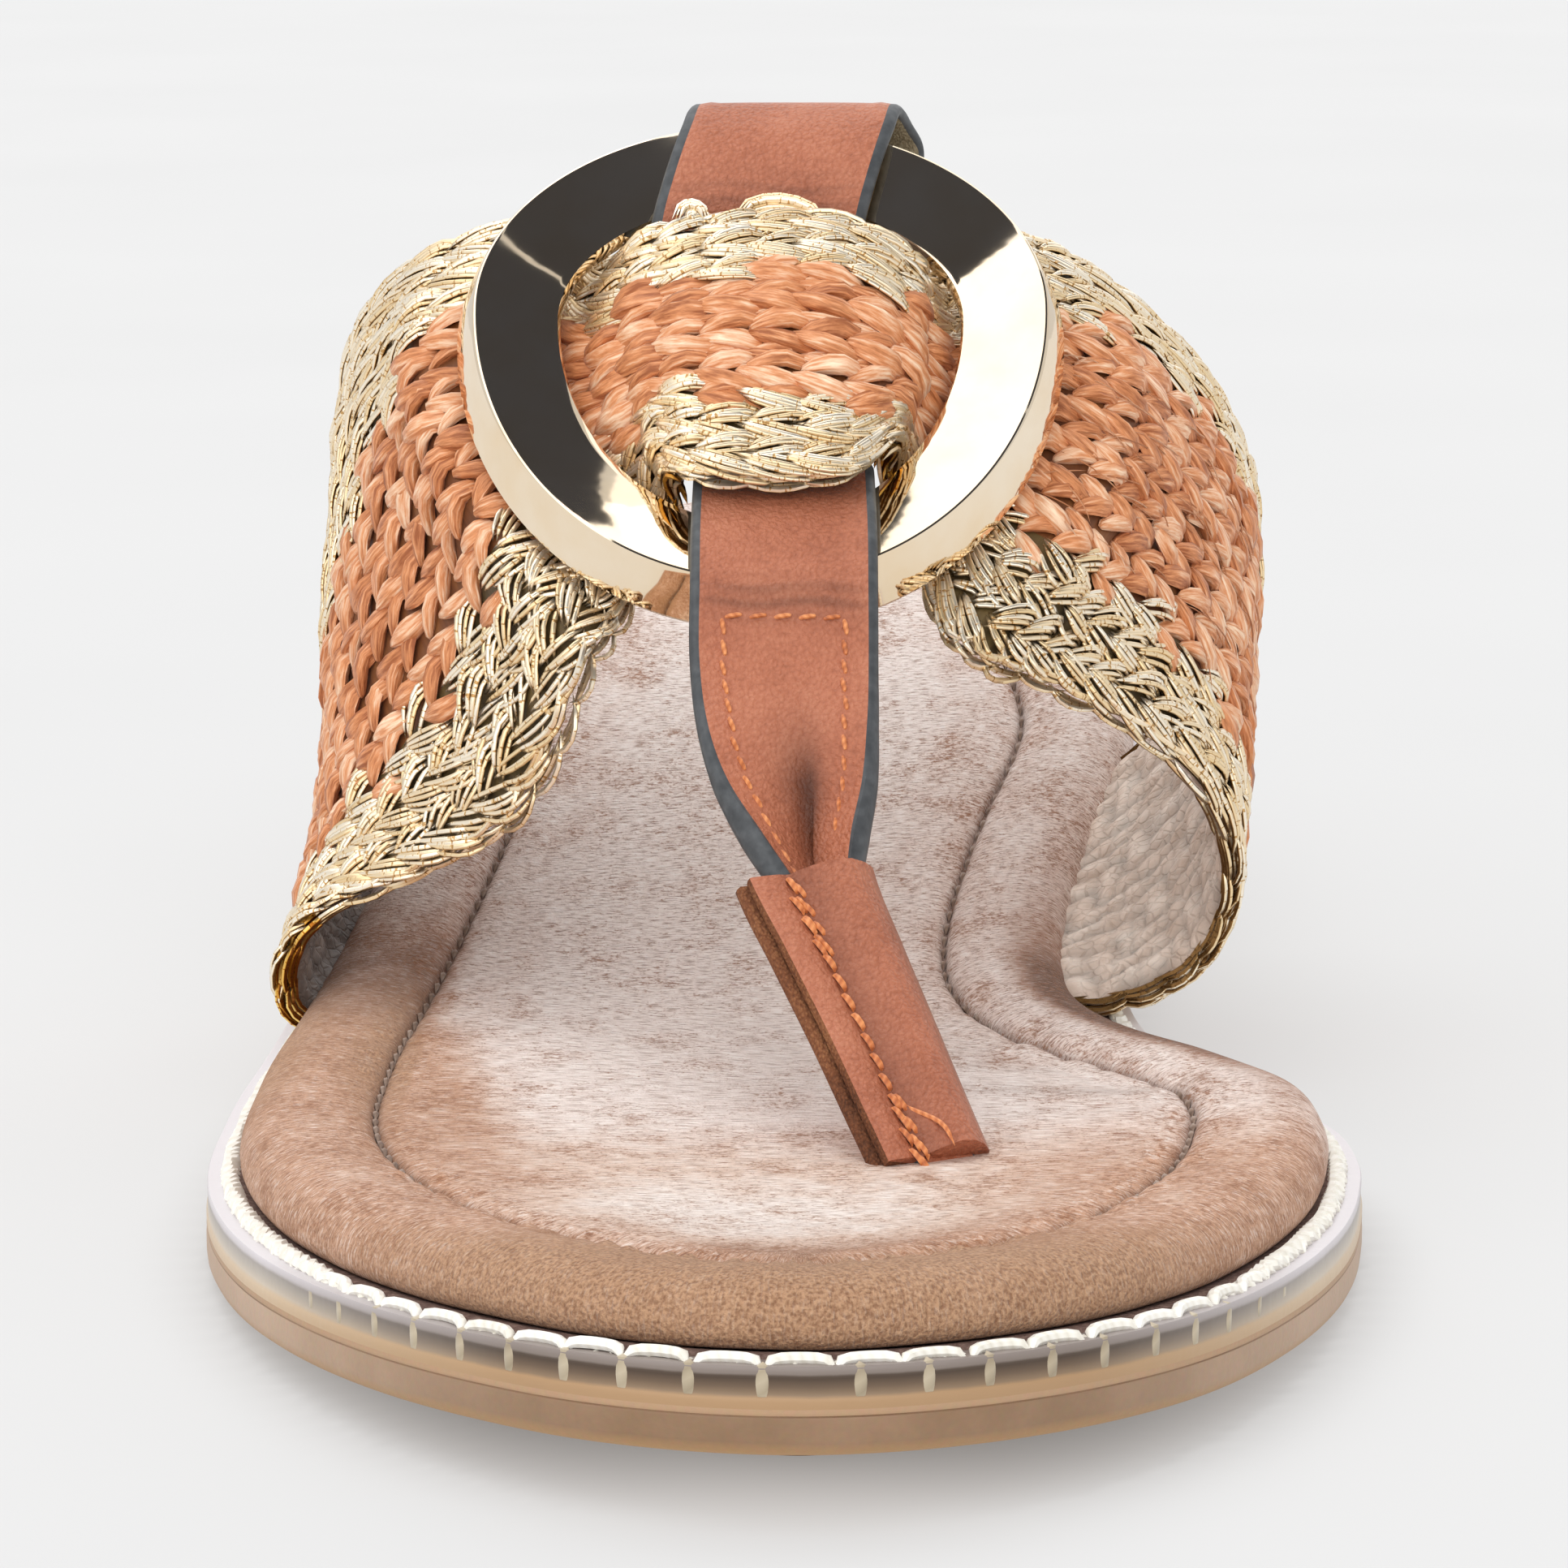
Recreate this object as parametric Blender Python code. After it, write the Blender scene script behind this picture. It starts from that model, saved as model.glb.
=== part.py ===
import math

import bmesh
import bpy
import numpy as np

for old in list(bpy.data.objects):
    bpy.data.objects.remove(old, do_unlink=True)

# Sizes are millimetres. "along" runs from the toe tip to the heel, x is positive on the medial side.
MM = 0.001
SOLE_LENGTH = 250.0
GAP = 0.3
OUTLINE_STEPS = 40

# Sole heights
TOE_SPRING = 5.4
SPRING_END = 72.0
SPRING_CURVE = 1.4
HEEL_RISE = 21.0
RISE_START = 95.0
RISE_LENGTH = 115.0
OUTSOLE_FRONT_THICKNESS = 3.4
WELT_THICKNESS = 2.9
ARCH_LIFT = 2.0
ARCH_START = 108.0
ARCH_END = 172.0
HEEL_BEVEL = 2.5
HEEL_BEVEL_START = 232.0
OUTSOLE_LEDGE = 0.5

# Insole
INSOLE_INSET = 3.9
WAIST_CUT = 3.4
WAIST_CUT_CENTRE = 108.0
WAIST_CUT_REACH = 34.0

# Ring
RING_X = -2.0
RING_ALONG = 111.3
RING_Z = 69.2
RING_SLOPE = math.radians(44.0)
RING_HALF_WIDTH = 25.5
RING_UPPER = 21.2
RING_LOWER = 30.0
RING_FACE = 8.4
RING_THICKNESS = 5.0
RING_STEPS = 52

# Band
BAND_THICKNESS = 2.0
BAND_RIDGES = 9
BAND_RIDGE_HEIGHT = 0.6
RIDGE_STEPS = 3
FOOT_CLEARANCE = 2.0

# Leather
KEEPER_WIDTH = 18.8
KEEPER_X = 0.4
KEEPER_THICKNESS = 1.1
SLEEVE_WALL = 1.2
SLEEVE_CLEARANCE = 0.45
SLEEVE_SEAM = 1.4
SLEEVE_SEAT = 0.75

# Outer edge of the welt, one row per station
OUTLINE_COLUMNS = ("along", "lateral", "medial")
OUTLINE = (
    (0, 1.0, 1.0),
    (2, -8.7, 10.4),
    (5, -14.5, 16.2),
    (10, -20.7, 22.8),
    (20, -29.6, 31.3),
    (30, -35.8, 36.7),
    (40, -40.3, 40.7),
    (50, -43.4, 43.6),
    (60, -45.4, 45.4),
    (70, -46.3, 46.3),
    (80, -46.2, 45.2),
    (90, -45.8, 40.6),
    (100, -44.9, 34.6),
    (110, -43.7, 31.3),
    (120, -42.3, 30.2),
    (135, -40.0, 30.6),
    (150, -37.6, 32.8),
    (165, -35.4, 34.6),
    (180, -33.7, 34.7),
    (200, -32.1, 33.2),
    (215, -30.2, 30.9),
    (228, -26.3, 26.7),
    (238, -20.7, 20.9),
    (245, -13.9, 14.0),
    (248, -8.8, 9.0),
    (250, 0.1, 0.1),
)

# Insole cross section, one row per ring from the underside round the roll to the middle
INSOLE_COLUMNS = ("inset", "height")
INSOLE_RINGS = (
    (9.0, 0.0),
    (0.9, 0.0),
    (0.1, 0.8),
    (-0.3, 2.2),
    (0.4, 3.9),
    (1.8, 4.8),
    (3.8, 5.1),
    (6.6, 4.7),
    (8.7, 3.8),
    (9.6, 3.1),
    (10.6, 3.7),
    (14.0, 4.1),
)

# Band stations on the lateral side, foot first: front edge, middle and back edge
BAND_COLUMNS = ("front_x", "front_along", "front_z", "mid_x", "mid_along", "mid_z",
                "back_x", "back_along", "back_z")
BAND_LATERAL = (
    (-33.5, 104.0, 8.8, -31.5, 125.0, 12.0, -28.5, 146.0, 17.2),
    (-39.5, 104.0, 8.8, -37.3, 125.0, 12.0, -34.0, 146.0, 17.2),
    (-42.2, 103.5, 11.0, -40.0, 125.0, 14.4, -36.9, 146.0, 19.8),
    (-42.2, 103.0, 15.8, -41.0, 124.0, 19.8, -39.8, 147.0, 25.8),
    (-39.0, 102.0, 20.0, -40.0, 122.0, 26.4, -41.2, 147.0, 33.5),
    (-33.6, 100.0, 22.8, -39.0, 120.0, 33.2, -41.2, 146.0, 41.5),
    (-28.0, 98.0, 26.0, -37.2, 118.5, 40.0, -40.4, 145.0, 49.5),
    (-22.6, 95.0, 30.6, -34.6, 117.0, 47.5, -39.6, 142.5, 57.8),
    (-18.8, 92.5, 37.6, -32.0, 115.0, 54.4, -36.6, 136.5, 66.8),
)
BAND_MEDIAL = (
    (17.0, 110.0, 9.3, 18.5, 132.0, 13.6, 24.0, 156.0, 19.9),
    (23.2, 110.0, 9.3, 24.6, 132.0, 13.6, 30.0, 156.0, 19.9),
    (29.4, 110.0, 10.0, 30.6, 132.0, 15.6, 34.6, 155.5, 23.2),
    (35.2, 110.0, 12.8, 36.2, 131.0, 19.8, 38.6, 154.0, 29.0),
    (38.6, 109.0, 19.5, 40.2, 130.0, 27.5, 41.6, 152.0, 36.6),
    (36.6, 105.5, 28.8, 40.8, 127.0, 37.0, 42.8, 149.0, 44.6),
    (29.6, 100.5, 36.2, 38.6, 124.0, 46.0, 41.6, 145.0, 53.0),
    (21.6, 95.5, 41.4, 33.6, 118.5, 53.6, 35.8, 138.0, 62.8),
)

# Band stations at the ring, lateral to medial, in the ring's own frame:
# u across, v up the slope, n out of the ring's face
BAND_RING_COLUMNS = ("front_u", "front_v", "front_n", "mid_u", "mid_v", "mid_n",
                     "back_u", "back_v", "back_n")
BAND_RING = (
    (-14.6, -31.5, -5.0, -28.0, -6.0, -7.0, -27.6, 16.0, -10.2),
    (-12.0, -26.6, -5.2, -21.8, -4.5, -5.4, -18.6, 14.2, -5.6),
    (-10.0, -20.2, -5.2, -16.6, -4.0, -4.8, -13.8, 10.4, -5.4),
    (-7.8, -17.3, -2.4, -13.2, -3.9, -1.6, -11.2, 8.2, -1.8),
    (-7.4, -16.8, 1.7, -9.6, -3.8, 2.2, -9.6, 8.6, 1.9),
    (-4.8, -19.4, 4.2, -4.6, -3.8, 5.0, -4.4, 9.2, 3.6),
    (1.8, -20.2, 4.5, 1.8, -3.8, 5.8, 1.8, 9.8, 3.8),
    (7.8, -19.0, 4.1, 8.2, -3.8, 4.8, 8.6, 9.0, 3.5),
    (10.8, -14.0, 1.8, 11.8, -3.8, 2.2, 12.8, 5.6, 1.6),
    (11.0, -14.1, -2.2, 14.0, -3.9, -1.8, 13.4, 6.2, -1.8),
    (12.8, -17.6, -5.2, 16.8, -4.0, -4.8, 15.6, 8.6, -5.2),
    (14.4, -25.0, -5.2, 22.2, -4.5, -5.6, 20.2, 13.4, -5.8),
    (17.2, -30.2, -5.0, 29.0, -6.0, -7.2, 26.0, 13.6, -8.2),
)

# Leather loop over the top of the ring: centre line in the ring's frame
KEEPER_COLUMNS = ("v", "n")
KEEPER_PATH = (
    (22.2, 0.0),
    (21.75, 2.9),
    (18.4, 3.25),
    (13.4, 2.7),
    (9.2, 1.2),
    (7.6, -1.2),
    (9.4, -3.5),
    (14.4, -3.6),
    (20.2, -3.6),
    (22.0, -2.5),
)

# Toe strap, from the folded end under the ring, round the ring's lower limb and down to the toe post
STRAP_LOOP_COLUMNS = ("v", "n", "half_width", "thickness")
STRAP_LOOP = (
    (-37.6, -1.2, 8.1, 1.3),
    (-33.0, -2.9, 8.3, 1.4),
    (-27.0, -3.7, 8.4, 1.4),
    (-21.0, -3.8, 8.2, 1.4),
    (-16.8, -3.2, 7.8, 1.4),
    (-15.2, -1.2, 7.7, 1.4),
    (-16.6, 0.8, 7.8, 1.4),
    (-20.4, 2.4, 8.2, 1.4),
    (-25.6, 3.7, 8.4, 1.4),
    (-30.4, 3.7, 8.4, 1.5),
    (-36.4, 1.5, 8.4, 1.6),
)
STRAP_COLUMNS = ("x", "along", "z", "half_width", "thickness", "fold", "turn")
STRAP_LOWER = (
    (0.4, 79.6, 40.0, 7.9, 1.9, 0.3, 0.0),
    (1.1, 76.4, 36.0, 6.7, 2.0, 1.1, -5.0),
    (1.9, 73.4, 32.4, 5.0, 2.0, 1.6, -12.0),
    (2.9, 70.6, 29.2, 3.6, 1.9, 0.8, -18.0),
    (5.2, 66.2, 24.7, 3.0, 1.8, 0.0, -22.0),
    (7.8, 61.4, 19.8, 2.9, 1.8, 0.0, -24.0),
    (10.4, 56.4, 14.8, 2.9, 1.8, 0.0, -24.0),
    (12.4, 52.6, 11.0, 2.9, 1.8, 0.0, -24.0),
    (13.8, 49.9, 8.2, 2.9, 1.8, 0.0, -24.0),
)
SLEEVE_START = 3
TAIL_START = 6

parts = bpy.data.collections.new("toe_post_sandal")
cutters = bpy.data.collections.new("cutters")
bpy.context.scene.collection.children.link(parts)
bpy.context.scene.collection.children.link(cutters)


def column(columns, rows, name):
    return np.array([row[columns.index(name)] for row in rows], dtype=float)


def hermite(knots, values, at):
    # Smooth curve through the rows of a table, with slopes taken from the neighbouring rows
    knots = np.asarray(knots, dtype=float)
    values = np.asarray(values, dtype=float)
    slopes = np.gradient(values, knots, axis=0)
    i = int(np.clip(np.searchsorted(knots, at) - 1, 0, len(knots) - 2))
    span = knots[i + 1] - knots[i]
    s = (at - knots[i]) / span
    near = (1 + 2 * s) * (1 - s) ** 2 * values[i] + s * (1 - s) ** 2 * span * slopes[i]
    far = s * s * (3 - 2 * s) * values[i + 1] + s * s * (s - 1) * span * slopes[i + 1]
    return near + far


def ease(s):
    s = min(max(s, 0.0), 1.0)
    return s * s * (3 - 2 * s)


def spring(along):
    return TOE_SPRING * (max(SPRING_END - along, 0.0) / SPRING_END) ** SPRING_CURVE


def rise(along):
    return HEEL_RISE * ease((along - RISE_START) / RISE_LENGTH)


def underside(along):
    arch = 0.0
    if ARCH_START < along < ARCH_END:
        arch = ARCH_LIFT * math.sin(math.pi * (along - ARCH_START) / (ARCH_END - ARCH_START)) ** 2
    bevel = HEEL_BEVEL * (max(along - HEEL_BEVEL_START, 0.0) / (SOLE_LENGTH - HEEL_BEVEL_START)) ** 2
    return spring(along) + arch + bevel


def outsole_top(along):
    return OUTSOLE_FRONT_THICKNESS + spring(along) + rise(along)


def welt_top(along):
    return outsole_top(along) + GAP + WELT_THICKNESS


def outline_loop():
    # Closed outline, toe tip first, down the lateral side to the heel and back up the medial side
    turns = np.arccos(1 - 2 * column(OUTLINE_COLUMNS, OUTLINE, "along") / SOLE_LENGTH)
    lateral = column(OUTLINE_COLUMNS, OUTLINE, "lateral")
    medial = column(OUTLINE_COLUMNS, OUTLINE, "medial")
    points = []
    for side, steps in ((lateral, range(OUTLINE_STEPS + 1)), (medial, range(OUTLINE_STEPS - 1, 0, -1))):
        for step in steps:
            turn = math.pi * step / OUTLINE_STEPS
            along = SOLE_LENGTH * (1 - math.cos(turn)) / 2
            points.append((float(hermite(turns, side, turn)), along))
    return np.array(points)


def inward(loop):
    ahead = np.roll(loop, -1, axis=0) - np.roll(loop, 1, axis=0)
    normals = np.stack([-ahead[:, 1], ahead[:, 0]], axis=1)
    normals /= np.linalg.norm(normals, axis=1)[:, None]
    towards = loop.mean(axis=0) - loop[0]
    return normals if normals[0] @ towards > 0 else -normals


def waist_cut(x, along):
    if x < 0:
        return 0.0
    return WAIST_CUT * ease(1 - abs(along - WAIST_CUT_CENTRE) / WAIST_CUT_REACH)


def ring_of(loop, normals, inset, height, extra=None):
    points = []
    for (x, along), (nx, ny) in zip(loop, normals):
        step = inset + (extra(x, along) if extra else 0.0)
        px, pa = x + nx * step, along + ny * step
        points.append((px, pa, height(pa)))
    return points


def place(point):
    return (point[0] * MM, (point[1] - SOLE_LENGTH / 2) * MM, point[2] * MM)


def on_ring(u, v, n):
    along = RING_ALONG + v * math.cos(RING_SLOPE) - n * math.sin(RING_SLOPE)
    z = RING_Z + v * math.sin(RING_SLOPE) + n * math.cos(RING_SLOPE)
    return np.array([RING_X + u, along, z])


def loft(bm, sections, closed=False):
    # Skins a row of closed sections that have the same number of points
    loops = [[bm.verts.new(place(point)) for point in section] for section in sections]
    count = len(loops[0])
    pairs = list(zip(loops, loops[1:]))
    if closed:
        pairs.append((loops[-1], loops[0]))
    for a, b in pairs:
        for i in range(count):
            j = (i + 1) % count
            bm.faces.new((a[i], a[j], b[j], b[i]))
    return loops


def ladder(bm, loop):
    # Fills an outline loop with rungs between the lateral and medial sides
    last = len(loop)
    half = last // 2
    bm.faces.new((loop[0], loop[1], loop[last - 1]))
    for i in range(1, half - 1):
        bm.faces.new((loop[i], loop[i + 1], loop[last - i - 1], loop[last - i]))
    bm.faces.new((loop[half - 1], loop[half], loop[half + 1]))


def finish(bm, name, collection, look=None):
    bmesh.ops.recalc_face_normals(bm, faces=bm.faces[:])
    mesh = bpy.data.meshes.new(name)
    bm.to_mesh(mesh)
    bm.free()
    thing = bpy.data.objects.new(name, mesh)
    collection.objects.link(thing)
    if look is None:
        thing.hide_render = True
        thing.display_type = "WIRE"
        return thing
    mesh.shade_smooth()
    mesh.set_sharp_from_angle(angle=math.radians(35))
    material = bpy.data.materials.new(name + "_material")
    material.use_nodes = True
    shader = material.node_tree.nodes["Principled BSDF"]
    colour, roughness, metallic = look
    shader.inputs["Base Color"].default_value = (*colour, 1.0)
    shader.inputs["Roughness"].default_value = roughness
    shader.inputs["Metallic"].default_value = metallic
    mesh.materials.append(material)
    return thing


def cut(thing, cutter):
    modifier = thing.modifiers.new("cut_" + cutter.name, "BOOLEAN")
    modifier.operation = "DIFFERENCE"
    modifier.solver = "EXACT"
    modifier.object = cutter


def outsole():
    loop = outline_loop()
    normals = inward(loop)
    rings = (
        (1.3, lambda a: underside(a)),
        (0.0, lambda a: underside(a) + 1.0),
        (-0.1, lambda a: 0.5 * (underside(a) + outsole_top(a))),
        (0.0, lambda a: outsole_top(a) - 0.5),
        (0.5, lambda a: outsole_top(a)),
    )
    bm = bmesh.new()
    sections = [ring_of(loop, normals, inset - OUTSOLE_LEDGE, height) for inset, height in rings]
    loops = loft(bm, sections)
    ladder(bm, loops[0])
    ladder(bm, loops[-1])
    return finish(bm, "outsole", parts, ((0.42, 0.25, 0.14), 0.55, 0.0))


def welt():
    loop = outline_loop()
    normals = inward(loop)
    rings = (
        (0.6, lambda a: outsole_top(a) + GAP),
        (0.0, lambda a: outsole_top(a) + GAP + 0.5),
        (0.0, lambda a: welt_top(a) - 0.5),
        (0.5, lambda a: welt_top(a)),
    )
    bm = bmesh.new()
    loops = loft(bm, [ring_of(loop, normals, inset, height) for inset, height in rings])
    ladder(bm, loops[0])
    ladder(bm, loops[-1])
    return finish(bm, "welt", parts, ((0.72, 0.66, 0.64), 0.2, 0.0))


def insole():
    loop = outline_loop()
    normals = inward(loop)
    bm = bmesh.new()
    sections = []
    for inset, height in INSOLE_RINGS:
        sections.append(ring_of(loop, normals, INSOLE_INSET + inset,
                                lambda a, h=height: welt_top(a) + GAP + h, waist_cut))
    loops = loft(bm, sections)
    ladder(bm, loops[0])
    ladder(bm, loops[-1])
    return finish(bm, "insole", parts, ((0.56, 0.40, 0.31), 0.9, 0.0))


def egg(step, inset):
    # Point on the ring's outline, with the inset measured along the outline's normal
    turn = 2 * math.pi * step / RING_STEPS
    reach = RING_UPPER if math.sin(turn) > 0 else RING_LOWER
    point = np.array([RING_HALF_WIDTH * math.cos(turn), reach * math.sin(turn)])
    normal = np.array([math.cos(turn) / RING_HALF_WIDTH, math.sin(turn) / reach])
    return point - normal / np.linalg.norm(normal) * inset


def ring():
    half = RING_THICKNESS / 2
    profile = (
        (0.5, -half), (0.0, -half + 0.6), (0.0, half - 0.5), (0.5, half),
        (1.4, half - 0.1), (RING_FACE - 0.6, 0.6), (RING_FACE, 0.0), (RING_FACE, -0.9),
        (RING_FACE - 0.8, -1.8), (RING_FACE - 2.6, -half),
    )
    sections = []
    for step in range(RING_STEPS):
        section = []
        for inset, n in profile:
            u, v = egg(step, inset)
            section.append(on_ring(u, v, n))
        sections.append(section)
    bm = bmesh.new()
    loft(bm, sections, closed=True)
    return finish(bm, "ring", parts, ((0.83, 0.66, 0.38), 0.12, 1.0))


def band_rows():
    # All stations of the band from the lateral foot over the instep to the medial foot
    rows = [np.array(row).reshape(3, 3) for row in BAND_LATERAL]
    for row in BAND_RING:
        rows.append(np.array([on_ring(*row[i:i + 3]) for i in (0, 3, 6)]))
    rows += [np.array(row).reshape(3, 3) for row in reversed(BAND_MEDIAL)]
    return rows


def band_grid(across, per_row=2):
    rows = np.array(band_rows())
    middle = rows[:, 1]
    knots = np.concatenate([[0.0], np.cumsum(np.linalg.norm(np.diff(middle, axis=0), axis=1))])
    grid = []
    for i in range(len(rows) - 1):
        for k in range(per_row):
            at = knots[i] + (knots[i + 1] - knots[i]) * k / per_row
            grid.append(hermite(knots, rows, at))
    grid.append(rows[-1])
    surface = []
    for front, mid, back in grid:
        surface.append([front * (1 - w) * (1 - 2 * w) + mid * 4 * w * (1 - w) + back * w * (2 * w - 1)
                        for w in across])
    return np.array(surface)


def band_normals(surface):
    along = np.gradient(surface, axis=0)
    across = np.gradient(surface, axis=1)
    normals = np.cross(along, across)
    normals /= np.linalg.norm(normals, axis=2)[:, :, None]
    return normals, across / np.linalg.norm(across, axis=2)[:, :, None]


def band_sections(thickness, ridges, margin=0.0, below=0.0):
    count = BAND_RIDGES * RIDGE_STEPS
    across = np.linspace(0, 1, count + 1)
    surface = band_grid(across)
    normals, sideways = band_normals(surface)
    stations = len(surface)
    half = thickness / 2
    sections = []
    for i in range(stations):
        fade = ease(min(i, stations - 1 - i) / 8)
        outer = []
        for k in range(count + 1):
            phase = (k % RIDGE_STEPS) / RIDGE_STEPS
            lift = ridges * fade * math.sin(math.pi * phase)
            outer.append(surface[i, k] + normals[i, k] * (half + lift + below))
        inner = [surface[i, k] - normals[i, k] * half for k in range(count, -1, -RIDGE_STEPS)]
        front = surface[i, 0] - sideways[i, 0] * (0.5 + margin)
        back = surface[i, -1] + sideways[i, -1] * (0.5 + margin)
        sections.append([front] + outer + [back] + inner)
    return sections


def band_end(bm, loop):
    # Closes an end of the band with one face for each ridge, so the face follows the curved end
    count = BAND_RIDGES * RIDGE_STEPS
    outer = loop[1:count + 2]
    inner = loop[:count + 2:-1]
    bm.faces.new((loop[0], outer[0], inner[0]))
    bm.faces.new((outer[-1], loop[count + 2], inner[-1]))
    for i in range(BAND_RIDGES):
        k = i * RIDGE_STEPS
        bm.faces.new(outer[k:k + RIDGE_STEPS + 1] + [inner[i + 1], inner[i]])


def band():
    bm = bmesh.new()
    loops = loft(bm, band_sections(BAND_THICKNESS, BAND_RIDGE_HEIGHT))
    band_end(bm, loops[0])
    band_end(bm, loops[-1])
    return finish(bm, "band", parts, ((0.55, 0.24, 0.10), 0.7, 0.0))


def foot_cutter(name, medial):
    sections = band_sections(BAND_THICKNESS + 2 * GAP, 0.0, GAP, FOOT_CLEARANCE)
    sections = sections[:-9:-1] if medial else sections[:8]
    beyond = np.array(sections[0]) - np.array(sections[1])
    beyond /= np.linalg.norm(beyond, axis=1)[:, None]
    sections[0] = list(np.array(sections[0]) + beyond * 2 * GAP)
    bm = bmesh.new()
    loops = loft(bm, sections)
    band_end(bm, loops[0])
    band_end(bm, loops[-1])
    return finish(bm, name, cutters)


def keeper_loop():
    path = list(KEEPER_PATH)
    count = len(path)
    closed = np.array(path[-3:] + path + path[:3], dtype=float)
    knots = np.concatenate([[0.0], np.cumsum(np.linalg.norm(np.diff(closed, axis=0), axis=1))])
    first = KEEPER_X - RING_X - KEEPER_WIDTH / 2
    last = first + KEEPER_WIDTH
    half = KEEPER_THICKNESS / 2
    sections = []
    for i in range(3, 3 + count):
        for k in range(3):
            at = knots[i] + (knots[i + 1] - knots[i]) * k / 3
            centre = hermite(knots, closed, at)
            ahead = hermite(knots, closed, at + 0.05) - hermite(knots, closed, at - 0.05)
            out = np.array([ahead[1], -ahead[0]]) / np.linalg.norm(ahead)
            section = []
            for u, side in ((first, -0.6), (first, 0.6), (first + 0.35, 1), (last - 0.35, 1),
                            (last, 0.6), (last, -0.6), (last - 0.35, -1), (first + 0.35, -1)):
                v, n = centre + out * side * half
                section.append(on_ring(u, v, n))
            sections.append(section)
    bm = bmesh.new()
    loft(bm, sections, closed=True)
    return finish(bm, "keeper_loop", parts, ((0.46, 0.15, 0.07), 0.5, 0.0))


def strap_stations(per_row=2):
    rows = []
    for v, n, half_width, thickness in STRAP_LOOP:
        rows.append((*on_ring(-RING_X, v, n), half_width, thickness, 0.0, 0.0))
    rows += list(STRAP_LOWER)
    rows = np.array(rows, dtype=float)
    knots = np.concatenate([[0.0], np.cumsum(np.linalg.norm(np.diff(rows[:, :3], axis=0), axis=1))])
    places = []
    for i in range(len(rows) - 1):
        for k in range(per_row):
            places.append(knots[i] + (knots[i + 1] - knots[i]) * k / per_row)
    places.append(knots[-1])
    return [strap_frame(rows, knots, at) for at in places]


def strap_frame(rows, knots, at):
    row = hermite(knots, rows, at)
    low = max(at - 0.05, knots[0])
    high = min(at + 0.05, knots[-1])
    ahead = hermite(knots, rows, high)[:3] - hermite(knots, rows, low)[:3]
    ahead /= np.linalg.norm(ahead)
    across = np.array([1.0, 0.0, 0.0])
    across -= ahead * (across @ ahead)
    across /= np.linalg.norm(across)
    out = np.cross(ahead, across)
    turn = math.radians(row[6])
    turned = across * math.cos(turn) + out * math.sin(turn)
    out = out * math.cos(turn) - across * math.sin(turn)
    return row, ahead, turned, out


def strap_section(frame, margin=0.0):
    row, ahead, across, out = frame
    centre, half_width, thickness, fold = row[:3], row[3] + margin, row[4] + 2 * margin, row[5]
    section = []
    for w, side in ((-1, -0.6), (-1, 0.6), (-0.95, 1), (-0.45, 1), (0, 1), (0.45, 1), (0.95, 1),
                    (1, 0.6), (1, -0.6), (0.95, -1), (0.45, -1), (0, -1), (-0.45, -1), (-0.95, -1)):
        valley = fold * (1 - abs(w))
        section.append(centre + across * w * half_width + out * (side * thickness / 2 - valley))
    return section


def level_end(section, ahead, z):
    # Slides the points of an end section along its direction until they lie at one height
    return [point + ahead * ((z - point[2]) / ahead[2]) for point in section]


def toe_strap():
    frames = strap_stations()
    sections = [strap_section(frame) for frame in frames]
    floor = welt_top(frames[-1][0][1]) + 2 * GAP
    sections[-1] = level_end(sections[-1], frames[-1][1], floor)
    bm = bmesh.new()
    loops = loft(bm, sections)
    bm.faces.new(loops[0])
    bm.faces.new(loops[-1])
    return finish(bm, "toe_strap", parts, ((0.46, 0.15, 0.07), 0.5, 0.0))


def tail_cutter():
    frames = strap_stations()
    first = 2 * (len(STRAP_LOOP) + TAIL_START)
    sections = [strap_section(frame, GAP) for frame in frames[first:]]
    floor = welt_top(frames[-1][0][1]) - 1.0
    sections[-1] = level_end(sections[-1], frames[-1][1], floor)
    bm = bmesh.new()
    loops = loft(bm, sections)
    bm.faces.new(loops[0])
    bm.faces.new(loops[-1])
    return finish(bm, "tail_cutter", cutters)


def sleeve_points(frame, share):
    # Pocket round the strap, and the seam flange on its lateral side
    row, ahead, across, out = frame
    centre = row[:3]
    pocket = row[3] + SLEEVE_CLEARANCE
    deep = row[4] / 2 + SLEEVE_CLEARANCE
    valley = row[5]
    flange = SLEEVE_SEAM - 0.5 * share
    seam = SLEEVE_WALL + 0.05
    inner = ((-1, -0.5), (-1, 0.5), (-0.9, 1), (-0.4, 1), (0.1, 1), (0.6, 1), (0.9, 1), (1, 0.5),
             (1, -0.5), (0.9, -1), (0.6, -1), (0.1, -1), (-0.4, -1), (-0.9, -1))
    inner_points = []
    for w, side in inner:
        dip = valley * (1 - abs(w))
        inner_points.append(centre + across * w * pocket + out * (side * deep - dip))
    left = -pocket - SLEEVE_WALL - flange
    right = pocket + SLEEVE_WALL
    wall = deep + SLEEVE_WALL
    dip = valley * 0.6
    outer = ((left, -seam), (left, seam), (left + flange * 0.6, seam + 0.1), (-pocket, wall * 0.9),
             (-pocket * 0.2, wall), (pocket * 0.55, wall), (right - 0.5, wall * 0.8),
             (right, wall * 0.35), (right, -wall * 0.35), (right - 0.5, -wall * 0.8 - dip),
             (pocket * 0.55, -wall - dip), (-pocket * 0.2, -wall - dip), (-pocket, -wall * 0.9 - dip),
             (left + flange * 0.6, -seam - 0.1))
    outer_points = [centre + across * w + out * n for w, n in outer]
    return outer_points, inner_points


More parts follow.
